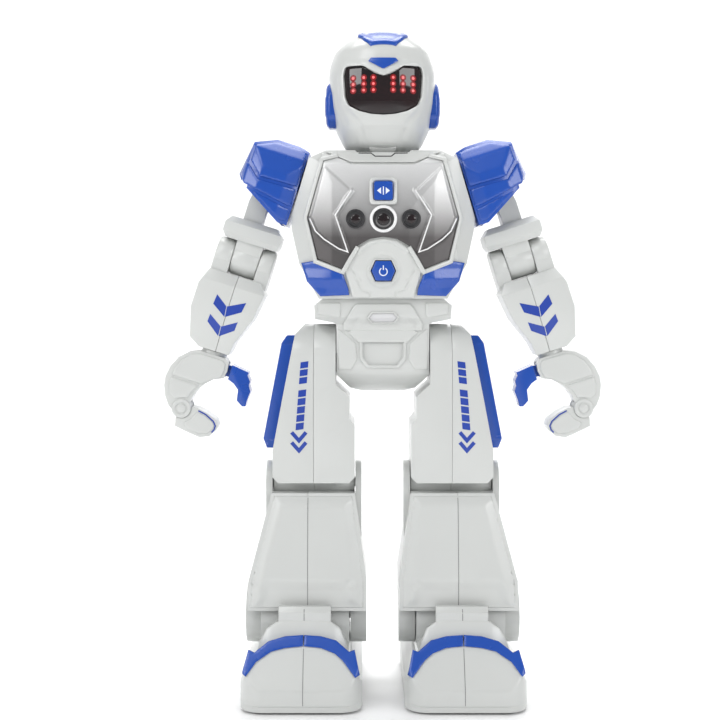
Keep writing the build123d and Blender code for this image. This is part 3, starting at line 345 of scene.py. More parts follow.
def edge_distance(points, loop, closed=True):
    """Distance from points to an outline."""
    points = np.asarray(points, float)
    ring = np.asarray(loop, float)
    following = np.roll(ring, -1, axis=0) if closed else ring[1:]
    ring = ring if closed else ring[:-1]
    best = np.full(len(points), 1e9)
    for start, end in zip(ring, following):
        run = end - start
        share = np.clip(((points - start) @ run) / max(run @ run, 1e-12), 0, 1)
        best = np.minimum(best, np.linalg.norm(points - (start + share[:, None] * run), axis=1))
    return best


def inside(points, loop):
    """Which points are inside an outline."""
    points = np.asarray(points, float)
    ring = np.asarray(loop, float)
    result = np.zeros(len(points), bool)
    for start, end in zip(ring, np.roll(ring, -1, axis=0)):
        crosses = (start[1] > points[:, 1]) != (end[1] > points[:, 1])
        with np.errstate(divide="ignore", invalid="ignore"):
            at = (end[0] - start[0]) * (points[:, 1] - start[1]) / (end[1] - start[1]) + start[0]
        result ^= crosses & (points[:, 0] < at)
    return result


# fill: row pitch, clearance of the grid and of a ring, all as shares of the step or ring
ROW_PITCH, GRID_CLEAR, RING_CLEAR, RING_BAND = 0.87, 0.45, 0.8, 0.21


def fill(outline, step, holes=(), rings=()):
    """Even triangles inside an outline that follow its edge and its holes."""
    loops = [resample(outline, step)] + [resample(hole, step) for hole in holes]
    points = []
    edges = []
    for loop in loops:
        first = len(points)
        points += loop
        edges += [(first + i, first + (i + 1) % len(loop)) for i in range(len(loop))]
    extra = []
    for ring in rings:
        for loop in loops:
            ring_points = np.array(loop)
            along = np.roll(ring_points, -1, axis=0) - np.roll(ring_points, 1, axis=0)
            along /= np.maximum(np.linalg.norm(along, axis=1), 1e-9)[:, None]
            side = np.stack([-along[:, 1], along[:, 0]], axis=1)
            for sign in (1, -1):
                trial = ring_points + side * ring * sign
                far = np.min([edge_distance(trial, other) for other in loops], axis=0)
                extra += [tuple(p) for p, d in zip(trial, far) if d > ring * RING_CLEAR]
    low = np.min(outline, axis=0)
    high = np.max(outline, axis=0)
    nearest = (max(rings) if rings else 0) + step * GRID_CLEAR
    row = 0
    b = low[1] + step * 0.5
    while b < high[1]:
        a = low[0] + step * (0.5 if row % 2 else 0.05)
        while a < high[0]:
            extra.append((a, b))
            a += step
        b += step * ROW_PITCH
        row += 1
    extra = np.array(extra)
    keep = inside(extra, outline)
    for hole in holes:
        keep &= ~inside(extra, hole)
    extra = extra[keep]
    clear = np.min([edge_distance(extra, loop) for loop in loops], axis=0)
    ring_like = np.zeros(len(extra), bool)
    for ring in rings:
        ring_like |= np.abs(clear - ring) < ring * RING_BAND
    keep = (clear > nearest) | ring_like
    points += [tuple(p) for p in extra[keep]]
    found, _, triangles, *_ = geometry.delaunay_2d_cdt([Vector(p) for p in points], edges, [], 0, 1e-5)
    found = np.array([(v.x, v.y) for v in found])
    triangles = [tuple(t) for t in triangles]
    centres = found[np.array(triangles)].mean(axis=1)
    good = inside(centres, outline)
    for hole in holes:
        good &= ~inside(centres, hole)
    return found, [t for t, ok in zip(triangles, good) if ok]


def boundary(triangles):
    """Directed edges used by one triangle only."""
    seen = {}
    for a, b, c in triangles:
        for edge in ((a, b), (b, c), (c, a)):
            seen[edge] = seen.get(edge, 0) + 1
    return [edge for edge in seen if (edge[1], edge[0]) not in seen]


def slab_faces(triangles, count):
    """Top triangles, the same ones below, and walls along every open edge."""
    faces = list(triangles) + [(c + count, b + count, a + count) for a, b, c in triangles]
    return faces + [(b, a, a + count, b + count) for a, b in boundary(triangles)]


def prism_faces(count):
    """Two matching outlines and the walls between them."""
    ends = [tuple(range(count)), tuple(range(count, 2 * count))]
    return ends + [(i, (i + 1) % count, count + (i + 1) % count, count + i) for i in range(count)]


def tube_faces(rows, count):
    """Stacked rings joined by walls, closed at both ends."""
    faces = []
    for near in range(0, (rows - 1) * count, count):
        far = near + count
        faces += [(near + i, near + (i + 1) % count, far + (i + 1) % count, far + i) for i in range(count)]
    return faces + [tuple(range(count)), tuple((rows - 1) * count + i for i in range(count))]


def panel(name, outline, place, lift, material, body, replaced=(), step=0.9, edge=0.5, holes=(), relief=None,
          under=-0.3):
    """Moulded panel that follows a surface: rounded rim, optional relief, closed underneath."""
    rings = (edge * 0.12, edge * 0.4, edge * 0.75) if edge else ()
    flat, triangles = fill(outline, step, holes, rings)
    rim = np.min([edge_distance(flat, loop) for loop in [outline, *holes]], axis=0)
    reach = np.clip(rim / edge, 0, 1) if edge else np.ones(len(flat))
    height = lift - edge + edge * np.sqrt(np.maximum(0, 1 - (1 - reach) ** 2))
    if relief is not None:
        height = height + relief(flat) * np.clip(rim / max(edge, 0.3), 0, 1)
    top = [place(a, b, h) for (a, b), h in zip(flat, height)]
    bottom = [place(a, b, under) for a, b in flat]
    return mesh_piece(name, top + bottom, slab_faces(triangles, len(flat)), material, body, replaced)


def level(table, value):
    """Straight-line lookup in (key, value) rows."""
    return float(np.interp(value, *zip(*table)))


def soft_curve(table, value):
    """Smooth lookup through (key, value) rows with unevenly spaced keys (monotone cubic)."""
    keys = np.array([row[0] for row in table], float)
    values = np.array([row[1] for row in table], float)
    gaps = np.diff(keys)
    slopes = np.diff(values) / gaps
    tangent = np.empty(len(keys))
    tangent[0], tangent[-1] = slopes[0], slopes[-1]
    for i in range(1, len(keys) - 1):
        before, after = slopes[i - 1], slopes[i]
        tangent[i] = 0.0 if before * after <= 0 else 2 * before * after / (before + after)
    value = np.clip(np.asarray(value, float), keys[0], keys[-1])
    at = np.clip(np.searchsorted(keys, value) - 1, 0, len(keys) - 2)
    t = (value - keys[at]) / gaps[at]
    return ((2 * t ** 3 - 3 * t ** 2 + 1) * values[at] + (t ** 3 - 2 * t ** 2 + t) * gaps[at] * tangent[at]
            + (-2 * t ** 3 + 3 * t ** 2) * values[at + 1] + (t ** 3 - t ** 2) * gaps[at] * tangent[at + 1])


# --- head
HEAD_HALF_X = [(215.0, 10.8), (217.3, 14.9), (221.0, 17.0), (225.1, 18.8), (235.6, 20.9), (246.2, 21.5),
               (254.6, 19.4), (259.4, 14.9), (261.8, 10.6), (263.2, 5.6), (263.7, 0.3)]
HEAD_HALF_Y = [(215.0, 9.8), (217.3, 13.6), (221.0, 16.3), (225.1, 18.6), (235.6, 21.2), (246.2, 21.8),
               (254.6, 19.9), (259.4, 15.8), (261.8, 11.6), (263.2, 6.2), (263.7, 0.3)]
HEAD_SQUARE = 2.25
HEAD_ARC = 20.0
HEAD_REACH = 22.0
CROWN_START, CROWN_RUN = 250.0, 26.0


def head_xy(angle, height, grow=0.0):
    """Point of the helmet at an angle from the front and a height."""
    half_x = soft_curve(HEAD_HALF_X, height) + grow
    half_y = soft_curve(HEAD_HALF_Y, height) + grow
    sin, cos = np.sin(angle), np.cos(angle)
    power = 2.0 / HEAD_SQUARE
    return np.sign(sin) * np.abs(sin) ** power * half_x, -np.sign(cos) * np.abs(cos) ** power * half_y


def head_angle(x, height):
    """Angle from the front at which the helmet has a given x."""
    share = np.clip(np.abs(x) / soft_curve(HEAD_HALF_X, height), 0, 0.999)
    return np.sign(x) * np.arcsin(share ** (HEAD_SQUARE / 2.0))


def head_front(x, height, lift):
    """Front of the helmet above a point seen from the front."""
    scale = 1.0 + lift / HEAD_REACH
    at_x, at_y = head_xy(head_angle(x, height), height)
    rise = lift * max(0.0, (height - CROWN_START) / CROWN_RUN)
    return float(at_x) * scale, float(at_y) - lift, float(height) + rise


VISOR = [(7.9, 247.8), (14.4, 247.9), (15.2, 247.1), (15.75, 244.5), (15.2, 236.2), (13.9, 233.0),
         (9.6, 230.5), (4.8, 229.2), (0.0, 228.8)]
VISOR_OUTLINE = rounded([(0.0, 243.8)] + VISOR + flip(VISOR[:-1]), 0.55, 3)
JAW_PANEL = mirrored([(7.6, 224.9), (9.6, 223.1), (6.4, 215.3)])


def unroll(loop):
    """Front outline in the helmet's unrolled coordinates."""
    return [(float(head_angle(x, z)) * HEAD_ARC, z) for x, z in loop]


def near_line(points, line, width):
    """1 on a line, fading to 0 at a width away."""
    return np.clip(1 - edge_distance(points, line, closed=False) / width, 0, 1)


def plateau(points, outline, width):
    """1 inside an outline, falling to 0 at its edge over a width."""
    return inside(points, outline) * np.clip(edge_distance(points, outline) / width, 0, 1)


# lines down one side of the helmet: points, rise and width (brow, cheek, temple)
HELMET_LINES = (
    ([(0.0, 243.2), (8.6, 247.7)], 0.55, 2.4),
    ([(15.4, 233.0), (9.4, 225.4), (7.2, 215.0)], -0.5, 1.2),
    ([(15.4, 249.8), (18.2, 244.0), (18.0, 233.5), (14.6, 226.6)], -0.28, 1.0),
)
HELMET_STEP = 0.95
RIM_RISE, CHIN_CUT, SEAM_CUT, VENT_CUT = 0.35, 0.45, 0.35, 1.0
HELMET_FOOT, HELMET_TOP = 215.0, 263.6
FRONT_ANGLE, REAR_ANGLE = 1.45, 1.8
RIM_OFFSET = 1.3
SHELL_SEAM_Y, SHELL_SEAM_HALF = 2.0, 0.45
VENT_ROWS, VENT_LOW, VENT_PITCH, VENT_REACH = 4, 229.0, 3.4, 8.0
WALL = 1.5
SEAM_TOP = 259
GROW_RADIUS = 21.0
GROW_START, GROW_RUN = 252, 14


def helmet():
    """White helmet shell: visor opening, brow, cheek and temple lines, chin panel, side seam and vents."""
    reach = math.pi * HEAD_ARC
    domain = [(-reach, HELMET_FOOT), (reach, HELMET_FOOT), (reach, HELMET_TOP), (-reach, HELMET_TOP)]
    opening = unroll(VISOR_OUTLINE)
    flat, triangles = fill(domain, HELMET_STEP, [opening], (0.25, 0.7))
    angle = flat[:, 0] / HEAD_ARC
    height = flat[:, 1]
    x, y = head_xy(angle, height)
    seen = np.stack([x, height], axis=1)
    front = np.abs(angle) < FRONT_ANGLE
    grow = np.zeros(len(flat))
    rim = edge_distance(seen, VISOR_OUTLINE)
    band = np.clip(1 - np.abs(rim - RIM_OFFSET) / RIM_OFFSET, 0, 1)
    grow += front * RIM_RISE * band ** 0.7
    for side, _ in SIDES:
        for line, rise, width in HELMET_LINES:
            grow += front * rise * near_line(seen, on_side(side, line), width)
    grow -= front * CHIN_CUT * plateau(seen, JAW_PANEL, 0.9)
    seam = np.clip(1 - np.abs(y - SHELL_SEAM_Y) / SHELL_SEAM_HALF, 0, 1)
    grow -= SEAM_CUT * seam * (height < SEAM_TOP)
    slots = np.zeros(len(flat))
    for row in range(VENT_ROWS):
        z = VENT_LOW + VENT_PITCH * row
        slot = np.clip(1.6 - np.abs(height - z) / 0.5, 0, 1) * np.clip(VENT_REACH - np.abs(x), 0, 1)
        slots = np.maximum(slots, slot)
    grow -= np.where(np.abs(angle) > REAR_ANGLE, VENT_CUT * slots, 0)
    scale = 1 + grow / GROW_RADIUS
    lifted = height + grow * np.clip((height - GROW_START) / GROW_RUN, -0.2, 0.8)
    points = np.stack([x * scale, y * scale, lifted], axis=1)
    shell = mesh_piece("helmet", points, triangles, WHITE, "head", ("head_front_shell", "head_rear_shell"),
                       merge=0.02)
    wall = shell.modifiers.new("wall", "SOLIDIFY")
    wall.thickness = WALL * MM
    wall.offset = -1.0
    wall.use_even_offset = False
    round_edges(shell, 0.22, 2, 50)


helmet()

flat_visor = rounded([(a * 1.03, b) for a, b in VISOR_OUTLINE], 0.2, 2)
panel("visor_window", flat_visor, lambda x, z, h: head_front(x, z, h - 1.3), 0.4, WINDOW, "head", ("visor",),
      step=1.0, edge=0.2)

LED_COLUMNS = (-12.2, -7.9, -4.0, 4.0, 8.0, 12.2)
LED_ROWS = (243.2, 240.8, 238.4)


def circle(centre, radius, height, place, spokes):
    """Points round a circle that follows a surface."""
    angles = [2 * math.pi * spoke / spokes for spoke in range(spokes)]
    return [place(centre[0] + radius * math.cos(t), centre[1] + radius * math.sin(t), height) for t in angles]


def dot(centre, radius, dome, place, rings=4, spokes=20):
    """Small domed disc that follows a surface."""
    points = [place(*centre, dome)]
    faces = []
    for share in (ring / rings for ring in range(1, rings + 1)):
        points += circle(centre, radius * share, dome * math.sqrt(max(0.0, 1 - share ** 2)), place, spokes)
    for spoke in range(spokes):
        following = (spoke + 1) % spokes
        faces.append((0, 1 + spoke, 1 + following))
        for ring in range(rings - 1):
            inner, outer = 1 + ring * spokes, 1 + (ring + 1) * spokes
            faces.append((inner + spoke, outer + spoke, outer + following, inner + following))
    first = len(points)
    points.append(place(*centre, -0.2))
    last = 1 + (rings - 1) * spokes
    for spoke in range(spokes):
        faces.append((first, last + (spoke + 1) % spokes, last + spoke))
    return points, faces


def joined(name, parts, material, body, replaced=(), **options):
    """One piece from several point and face lists."""
    points = []
    faces = []
    for part_points, part_faces in parts:
        first = len(points)
        points += part_points
        faces += [tuple(first + index for index in face) for face in part_faces]
    return mesh_piece(name, points, faces, material, body, replaced, **options)


def on_window(x, z, h):
    """Just proud of the visor window."""
    return head_front(x, z, h - 0.88)


EYES = [(x, z) for x in LED_COLUMNS for z in LED_ROWS]
HALO_RADIUS, HALO_DOME = 1.25, 0.04
LED_RADIUS, LED_DOME = 0.55, 0.16
# Painted glow: a dim glowing disc round each diode.
joined("eye_halo", [dot(eye, HALO_RADIUS, HALO_DOME, on_window) for eye in EYES], LED_HALO, "head")
joined("eye_dots", [dot(eye, LED_RADIUS, LED_DOME, on_window) for eye in EYES], LED, "head",
       replaced=("eye_leds",))

BADGE = mirrored([(4.7, 250.7), (5.7, 249.4), (0.35, 246.4)])
panel("brow_badge_inlay", BADGE, head_front, 0.75, BLUE, "head", ("brow_badge",), step=0.6, edge=0.25)

CROWN_LOW, CROWN_TOP, CROWN_SPAN = 246.5, 263.7, 17.2


def helmet_top(x, y, lift):
    """Point on the helmet above a plan position."""
    low, high = CROWN_LOW, CROWN_TOP
    for _ in range(30):
        middle = (low + high) / 2
        half_x = float(soft_curve(HEAD_HALF_X, middle))
        half_y = float(soft_curve(HEAD_HALF_Y, middle))
        if (abs(x) / half_x) ** HEAD_SQUARE + (abs(y) / half_y) ** HEAD_SQUARE < 1:
            low = middle
        else:
            high = middle
    shift = lift * max(0.0, 1 - (low - CROWN_LOW) / CROWN_SPAN)
    norm = max(math.hypot(x, y), 1e-6)
    rise = lift * min(1.0, 0.35 + (low - CROWN_LOW) / CROWN_SPAN)
    return x + x / norm * shift * 0.8, y + y / norm * shift * 0.8, low + rise


CREST = mirrored([(5.0, -19.0), (7.5, -15.9), (9.9, -10.9), (9.3, 2.0), (7.6, 12.5), (5.2, 16.4)])
CREST_INNER = mirrored([(4.0, -18.0), (6.3, -15.0), (8.1, -10.6), (7.2, 2.0), (5.8, 11.6), (3.8, 14.6)])
panel("crest_outer", CREST, helmet_top, 1.0, BLUE, "head", ("crown_crest",),
      relief=lambda points: -0.55 * plateau(points, CREST_INNER, 0.7))

EAR_OUTER = [(-4.6, 225.4), (3.6, 225.4), (6.9, 229.2), (7.2, 238.6), (3.8, 243.4), (-4.6, 243.4),
             (-8.1, 238.8), (-7.8, 229.4)]
EAR_RINGS = [(17.0, 1.03), (21.3, 1.0), (22.2, 0.9), (22.7, 0.74), (22.3, 0.70), (22.3, 0.5), (22.9, 0.46),
             (23.1, 0.36), (23.1, 0.02)]


def ear_pod(side):
    """Blue ear pod: a drafted block with a stepped face and a round boss."""
    y, z = np.mean(EAR_OUTER, axis=0)
    smooth = rounded(EAR_OUTER, 1.4, 4)
    points = [(side * out, y + (a - y) * share, z + (b - z) * share) for out, share in EAR_RINGS
              for a, b in smooth]
    return points, tube_faces(len(EAR_RINGS), len(smooth))


round_edges(joined("ear_pod_pair", [ear_pod(1), ear_pod(-1)], BLUE, "head", ("ear_pods",)), 0.3, 3, 28)

CHIN_TAB = mirrored([(5.7, 217.4), (5.0, 215.6), (3.4, 213.8)])
panel("chin_tab", CHIN_TAB, lambda x, z, h: (x, -11.6 - h + (217.6 - z) * 0.55, z), 1.3, WHITE, "head",
      edge=0.7, under=-1.8)

# --- torso
TORSO_DEPTH = [(157.2, 18.4), (168.0, 20.8), (184.0, 22.8), (190.0, 22.5), (210.0, 18.6), (215.6, 14.5)]
TORSO_WIDTH = [(0.0, 22.9), (10.0, 22.2), (20.0, 20.0), (30.0, 16.0), (38.0, 11.0)]


def thick_line(points, width):
    """Outline of a line drawn with a given width."""
    line = np.array(points, float)
    along = np.diff(line, axis=0)
    along /= np.linalg.norm(along, axis=1)[:, None]
    normals = np.stack([-along[:, 1], along[:, 0]], axis=1)
    left, right = [], []
    for index, point in enumerate(line):
        before = normals[max(index - 1, 0)]
        after = normals[min(index, len(normals) - 1)]
        middle = before + after
        middle /= max(np.linalg.norm(middle), 1e-6)
        reach = width / 2 / max(middle @ after, 0.45)
        left.append(tuple(point + middle * reach))
        right.append(tuple(point - middle * reach))
    return left + right[::-1]


def arc(centre, radius, start, end, parts=16):
    """Points along an arc, angles in degrees."""
    angles = [math.radians(start + (end - start) * i / parts) for i in range(parts + 1)]
    return [(centre[0] + radius * math.cos(t), centre[1] + radius * math.sin(t)) for t in angles]


CHEST_BLEND, CHEST_EASE = 2.4, 0.3


def chest(x, z, h):
    """Point on the front of the torso."""
    depth = level(TORSO_DEPTH, z)
    width = level(TORSO_WIDTH, abs(x))
    meet = min(depth, width)
    blend = max(0.0, 1.0 - abs(depth - width) / CHEST_BLEND)
    return x, -(meet - CHEST_EASE * blend * blend) - h, z


PLATE = mirrored([(12.3, 209.7), (17.9, 212.5), (23.1, 211.0), (29.6, 189.0), (25.7, 172.7), (16.0, 168.8),
                  (10.8, 177.3), (5.2, 180.5), (0.4, 181.3)])
WING_RIDGE = [(12.4, 199.3), (18.7, 189.7), (13.8, 175.4), (17.2, 176.6), (22.9, 180.3), (26.4, 183.6),
              (28.7, 188.6)]
WINGLET = [(23.0, 209.2)] + WING_RIDGE
LENSES = ((0.0, 188.2, 4.0), (-10.8, 188.2, 3.6), (10.8, 188.2, 3.6))
WING_RISE, RIDGE_RISE = 0.75, 1.35
DISH_MIDDLE, DISH_WIDE, DISH_TALL, DISH_DEPTH = 187.5, 11.0, 9.0, 0.25


def chest_relief(points):
    """Raised side wings, a ridge along their inner and lower edges, and a shallow dish between."""
    height = np.zeros(len(points))
    for sign in (1, -1):
        ridge = on_side(sign, WING_RIDGE)
        height += WING_RISE * plateau(points, on_side(sign, WINGLET), 0.5)
        near = edge_distance(points, ridge, closed=False)
        height = np.maximum(height, np.clip(2.15 - near / 0.38, 0, 1) * RIDGE_RISE)
    middle = np.exp(-((points[:, 0] / DISH_WIDE) ** 2 + ((points[:, 1] - DISH_MIDDLE) / DISH_TALL) ** 2))
    return height - DISH_DEPTH * middle


panel("chest_skin", PLATE, chest, 1.0, SILVER, "torso", ("chest_plate",), step=0.5, edge=0.3,
      relief=chest_relief)

for side, name in SIDES:
    crest_line = on_side(side, WING_RIDGE)
    panel("wing_ridge_" + name, thick_line(crest_line, 0.55), chest, 2.7, SILVER_EDGE, "torso", step=0.4,
          edge=0.25, under=0.5)

FRAME = [(12.4, 210.4), (17.7, 213.4), (23.9, 211.8), (30.6, 189.0), (26.5, 171.8), (15.6, 167.5),
         (10.3, 176.0)]
COLLAR = mirrored([(22.4, 214.7), (12.2, 210.4)])
# Painted shadow: outline of a thin black strip that stands for the shade in the neck opening and its notch.
NECK_SHADOW_LINE = [(-9.6, 214.25), (-4.7, 214.25), (-3.2, 212.95), (3.2, 212.95), (4.7, 214.25), (9.6, 214.25)]
for side, name in SIDES:
    line = on_side(side, FRAME)
    panel("chest_frame_" + name, thick_line(line[1:6], 1.7), chest, 1.75, WHITE, "torso", step=0.6,
          under=-0.8)
    strut = on_side(side, ((16.1, 166.9), (13.0, 172.3), (9.9, 177.4)))
    panel("belly_strut_" + name, thick_line(strut, 1.7), chest, 2.2, WHITE, "torso", step=0.5, under=-1.4)
    shoulder_plane = on_side(side, ((23.9, 214.6), (13.4, 210.4), (18.2, 212.6), (24.2, 211.2)))
    panel("collar_side_" + name, shoulder_plane, chest, 0.75, WHITE, "torso", step=0.7, edge=0.3, under=-0.8)
panel("collar_front", COLLAR, chest, 1.15, WHITE, "torso", step=0.8, edge=0.45, under=-0.8)

# Painted shadow: black strip on the collar where the neck opening is in shade.
panel("neck_gap", thick_line(NECK_SHADOW_LINE, 0.4), chest, 1.25, BLACK, "torso", step=0.5, edge=0.05, under=0.4)

HEX_Z, HEX_RING = 168.1, 6.3
HEX = [(-5.5, 168.1), (-3.5, 172.7), (3.5, 172.7), (5.5, 168.1), (3.5, 163.5), (-3.5, 163.5)]
HEX_HOLE = [(-4.95, 168.1), (-3.15, 172.2), (3.15, 172.2), (4.95, 168.1), (3.15, 164.0), (-3.15, 164.0)]
BELLY = mirrored([(0.6, 180.6), (5.2, 179.8), (10.0, 176.8), (15.0, 168.2), (12.7, 160.9), (12.0, 157.6)])


def belly_relief(points):
    """Raised arch rim and a dished middle with panel steps."""
    rim = arc((0, 168.6), 11.6, 142, 38, 20)
    height = 0.8 * np.clip(1.9 - edge_distance(points, rim, closed=False) / 0.62, 0, 1)
    for sign in (1, -1):
        step = on_side(sign, ((12.2, 169.0), (8.5, 160.9), (5.0, 159.6), (4.9, 157.0)))
        height -= 0.5 * near_line(points, step, 0.45)
        tick = on_side(sign, ((11.6, 168.0), (8.9, 164.6)))
        height -= 0.4 * near_line(points, tick, 0.4)
    ring = np.abs(np.hypot(points[:, 0], points[:, 1] - HEX_Z) - HEX_RING)
    return height - 0.3 * np.clip(1 - ring / 0.6, 0, 1)


panel("belly_panel", BELLY, chest, 1.15, WHITE, "torso", ("belly_cover",), step=0.5, edge=0.4,
      holes=(HEX_HOLE,), relief=belly_relief, under=-1.6)

ACCENT = [(32.2, 171.3), (25.6, 172.2), (16.0, 167.9), (13.5, 161.0), (13.3, 158.6), (24.6, 158.2),
          (29.9, 164.0)]
ACCENT_EDGE = [(15.0, 164.6), (29.5, 165.4)]


def accent_relief(sign):
    """Two planes meeting at a slanted edge."""
    def relief(points):
        return 0.55 * near_line(points, on_side(sign, ACCENT_EDGE), 3.6)
    return relief


for side, name in SIDES:
    outline = ACCENT if side > 0 else flip(ACCENT)
    panel("hip_accent_" + name, outline, chest, 1.2, BLUE, "torso", ("side_accents",), step=0.6, edge=0.55,
          relief=accent_relief(side), under=-1.6)


def rounded_square(centre, size, radius):
    """Square outline with rounded corners."""
    half = size / 2
    return rounded([(centre[0] - half, centre[1] - half), (centre[0] + half, centre[1] - half),
                    (centre[0] + half, centre[1] + half), (centre[0] - half,
                                                           centre[1] + half)], radius * 1.6, 5)


MODE_CENTRE = (0.0, 199.1)
panel("mode_bezel", rounded_square(MODE_CENTRE, 10.8, 1.1), chest, 2.2, WHITE, "torso", ("chest_bezels",),
      step=0.6, edge=0.7, holes=(rounded_square(MODE_CENTRE, 7.7, 0.7),), under=-1.6)


def lathe(profile, centre, place, spokes=40):
    """Turned ring or cup: profile rows are (radius, height above the surface)."""
    points = [point for row in profile for point in circle(centre, *row, place, spokes)]
    return points, tube_faces(len(profile), spokes)


def facing(y):
    """Flat face at a depth, looking forward."""
    return lambda x, z, h: (x, -y - h, z)


LENS_FACE = facing(22.9)
LENS_CUP = [(0.15, -1.6), (0.15, 0.75), (-0.2, 0.95), (-0.55, 0.7), (-0.7, 0.25), (-1.3, 0.15), (-1.45, 0.45),
            (-1.8, 0.4), (-1.95, 0.05)]
LENS_RING = [(5.35, -1.6), (5.35, 0.7), (5.05, 1.15), (4.6, 1.25), (4.2, 1.05), (4.12, 0.3), (4.12, -1.6)]
cups = []
glass = []
for x, z, r in LENSES:
    profile = [(r + out, height) for out, height in LENS_CUP] + [(0.4, -0.1)]
    cups.append(lathe(profile, (x, z), LENS_FACE))
    glass.append(dot((x, z), r - 1.55, 0.62, LENS_FACE, rings=6, spokes=32))
joined("lens_cups", cups, BLACK, "torso")
joined("lens_glass", glass, WINDOW, "torso", ("sensor_lenses",))
joined("lens_ring", [lathe(LENS_RING, LENSES[0][:2], LENS_FACE)], SILVER_EDGE, "torso")

MARK_STEP = 0.5
MARK_ROOT = 0.25


def flat_marks(name, outlines, place, material, body, thickness=0.06):
    """Printed or inlaid marks, and painted seam shadows: thin plates cut to an outline."""
    parts = []
    for outline in outlines:
        flat, triangles = fill(outline, MARK_STEP)
        points = [place(a, b, h) for h in (thickness, -MARK_ROOT) for a, b in flat]
        parts.append((points, slab_faces(triangles, len(flat))))
    return joined(name, parts, material, body, smooth=False)


MODE_FACE = facing(23.6)
x0, z0 = MODE_CENTRE
mode_marks = [thick_line([(x0, z0 + 1.6), (x0, z0 - 1.6)], 0.42)]
mode_marks += [[(x0 + side * 2.5, z0), (x0 + side * 0.9, z0 + 1.3), (x0 + side * 0.9, z0 - 1.3)]
               for side in (1, -1)]
flat_marks("mode_mark", mode_marks, MODE_FACE, PRINT_WHITE, "mode_button")
POWER_FACE = facing(23.0)
power_marks = [thick_line([(0, 170.2), (0, 168.4)], 0.42), thick_line(arc((0, 167.75), 1.5, 122, 418, 24),
        0.42)]
flat_marks("power_mark", power_marks, POWER_FACE, PRINT_WHITE, "power_button")
panel("power_bezel", HEX, chest, 1.7, WHITE, "torso", step=0.4, edge=0.25, holes=(HEX_HOLE,), under=-1.6)

# --- waist and hips
HIP_DEPTH = [(119.9, 1.0), (121.6, 6.3), (124.0, 9.4), (127.0, 11.5), (130.0, 12.7), (133.0, 13.0),
             (147.0, 13.0), (150.0, 15.5), (157.1, 15.5)]


def hips(x, z, h):
    """Point on the front of the hip housing."""
    return x, -level(HIP_DEPTH, z) - h, z


WAIST_PLATE = mirrored([(10.4, 155.2), (11.6, 154.2), (15.6, 147.4), (15.6, 144.6)])
WAIST_FOLD = [(6.9, 149.6), (9.4, 149.6), (13.8, 145.0), (13.8, 143.0)]


def waist_relief(points):
    """Fold line down both sides of the waist plate."""
    return -0.5 * (near_line(points, on_side(-1, WAIST_FOLD), 0.5) + near_line(points, WAIST_FOLD, 0.5))


panel("waist_plate", WAIST_PLATE, hips, 0.95, WHITE, "torso", step=0.8, relief=waist_relief, under=-0.5)
EMBLEM = [(-6.5, 149.7), (-4.5, 152.1), (4.5, 152.1), (6.5, 149.7), (4.5, 147.3), (-4.5, 147.3)]
EMBLEM_HOLE = [(-5.5, 149.7), (-4.1, 151.4), (4.1, 151.4), (5.5, 149.7), (4.1, 148.0), (-4.1, 148.0)]
panel("waist_emblem_rim", EMBLEM, hips, 1.75, WHITE, "torso", step=0.4, edge=0.35, holes=(EMBLEM_HOLE,))
panel("waist_emblem", EMBLEM_HOLE, hips, 1.15, WHITE_INNER, "torso", step=0.5, edge=0.2)
SHIELD = mirrored([(9.2, 146.4), (13.9, 144.0), (9.6, 139.9)])
panel("hip_shield", SHIELD, hips, 0.7, WHITE, "torso", step=0.8, edge=0.45, under=-0.5)
RECESS_FRAME = mirrored([(9.4, 141.2), (9.1, 133.4), (6.5, 129.7)])
RECESS_HOLE = mirrored([(8.2, 140.3), (8.0, 133.9), (5.7, 131.0)])
panel("hip_lower_frame", RECESS_FRAME, hips, 0.55, WHITE, "torso", step=0.5, edge=0.3, holes=(RECESS_HOLE,),
      under=-0.5)
for side, name in SIDES:
    cheek = on_side(side, ((17.6, 145.3), (14.9, 143.3), (10.6, 139.4), (10.3, 133.2), (12.6, 129.0),
                           (17.6, 129.0)))
    panel("hip_cheek_" + name, cheek, hips, 0.5, WHITE, "torso", edge=0.4, under=-0.5)
    band = on_side(side, ((16.8, 155.6), (25.4, 155.6), (25.9, 151.2), (19.4, 149.9), (16.8, 149.9)))
    panel("waist_wing_" + name, band, hips, 0.5, WHITE, "torso", edge=0.4, under=-0.5)

# --- arms
ARM_OUT = (0.95372, 0.30071)
SHOULDER = (34.6, 203.0)
CAP_DEPTH_W = [(-17.2, 15.0), (2.0, 15.0), (9.0, 12.5), (14.7, 7.0)]
CAP_DEPTH_U = [(-1.7, 13.0), (4.0, 15.0), (14.0, 15.0), (20.0, 12.0), (22.8, 6.0)]
FOREARM_DEPTH = [(-73.5, 7.4), (-60.0, 10.4), (-46.6, 10.4), (-42.2, 7.6)]
HAND_FACE = 5.5


def arm_xz(side, u, w):
    """Across and up position of a point in the slanted arm frame."""
    across = SHOULDER[0] + ARM_OUT[0] * u - ARM_OUT[1] * w
    return side * across, SHOULDER[1] + ARM_OUT[1] * u + ARM_OUT[0] * w


def arm_place(side, depth, back=1):
    """Surface facing forward (or backward) in the slanted arm frame."""
    def place(u, w, h):
        x, z = arm_xz(side, u, w)
        return x, -back * (depth(u, w) + h), z
    return place


def cap_depth(u, w):
    """Half depth of the shoulder shield."""
    return min(level(CAP_DEPTH_W, w), level(CAP_DEPTH_U, u))


def forearm_depth(u, w):
    """Half depth of the forearm."""
    return level(FOREARM_DEPTH, w)


def hand_depth(u, w):
    """Half depth of the hand."""
    return HAND_FACE


def arm_uv(points):
    """Arm-frame outline from front-view millimetres of the left arm."""
    return [(ARM_OUT[0] * (x - SHOULDER[0]) + ARM_OUT[1] * (z - SHOULDER[1]),
             -ARM_OUT[1] * (x - SHOULDER[0]) + ARM_OUT[0] * (z - SHOULDER[1])) for x, z in points]


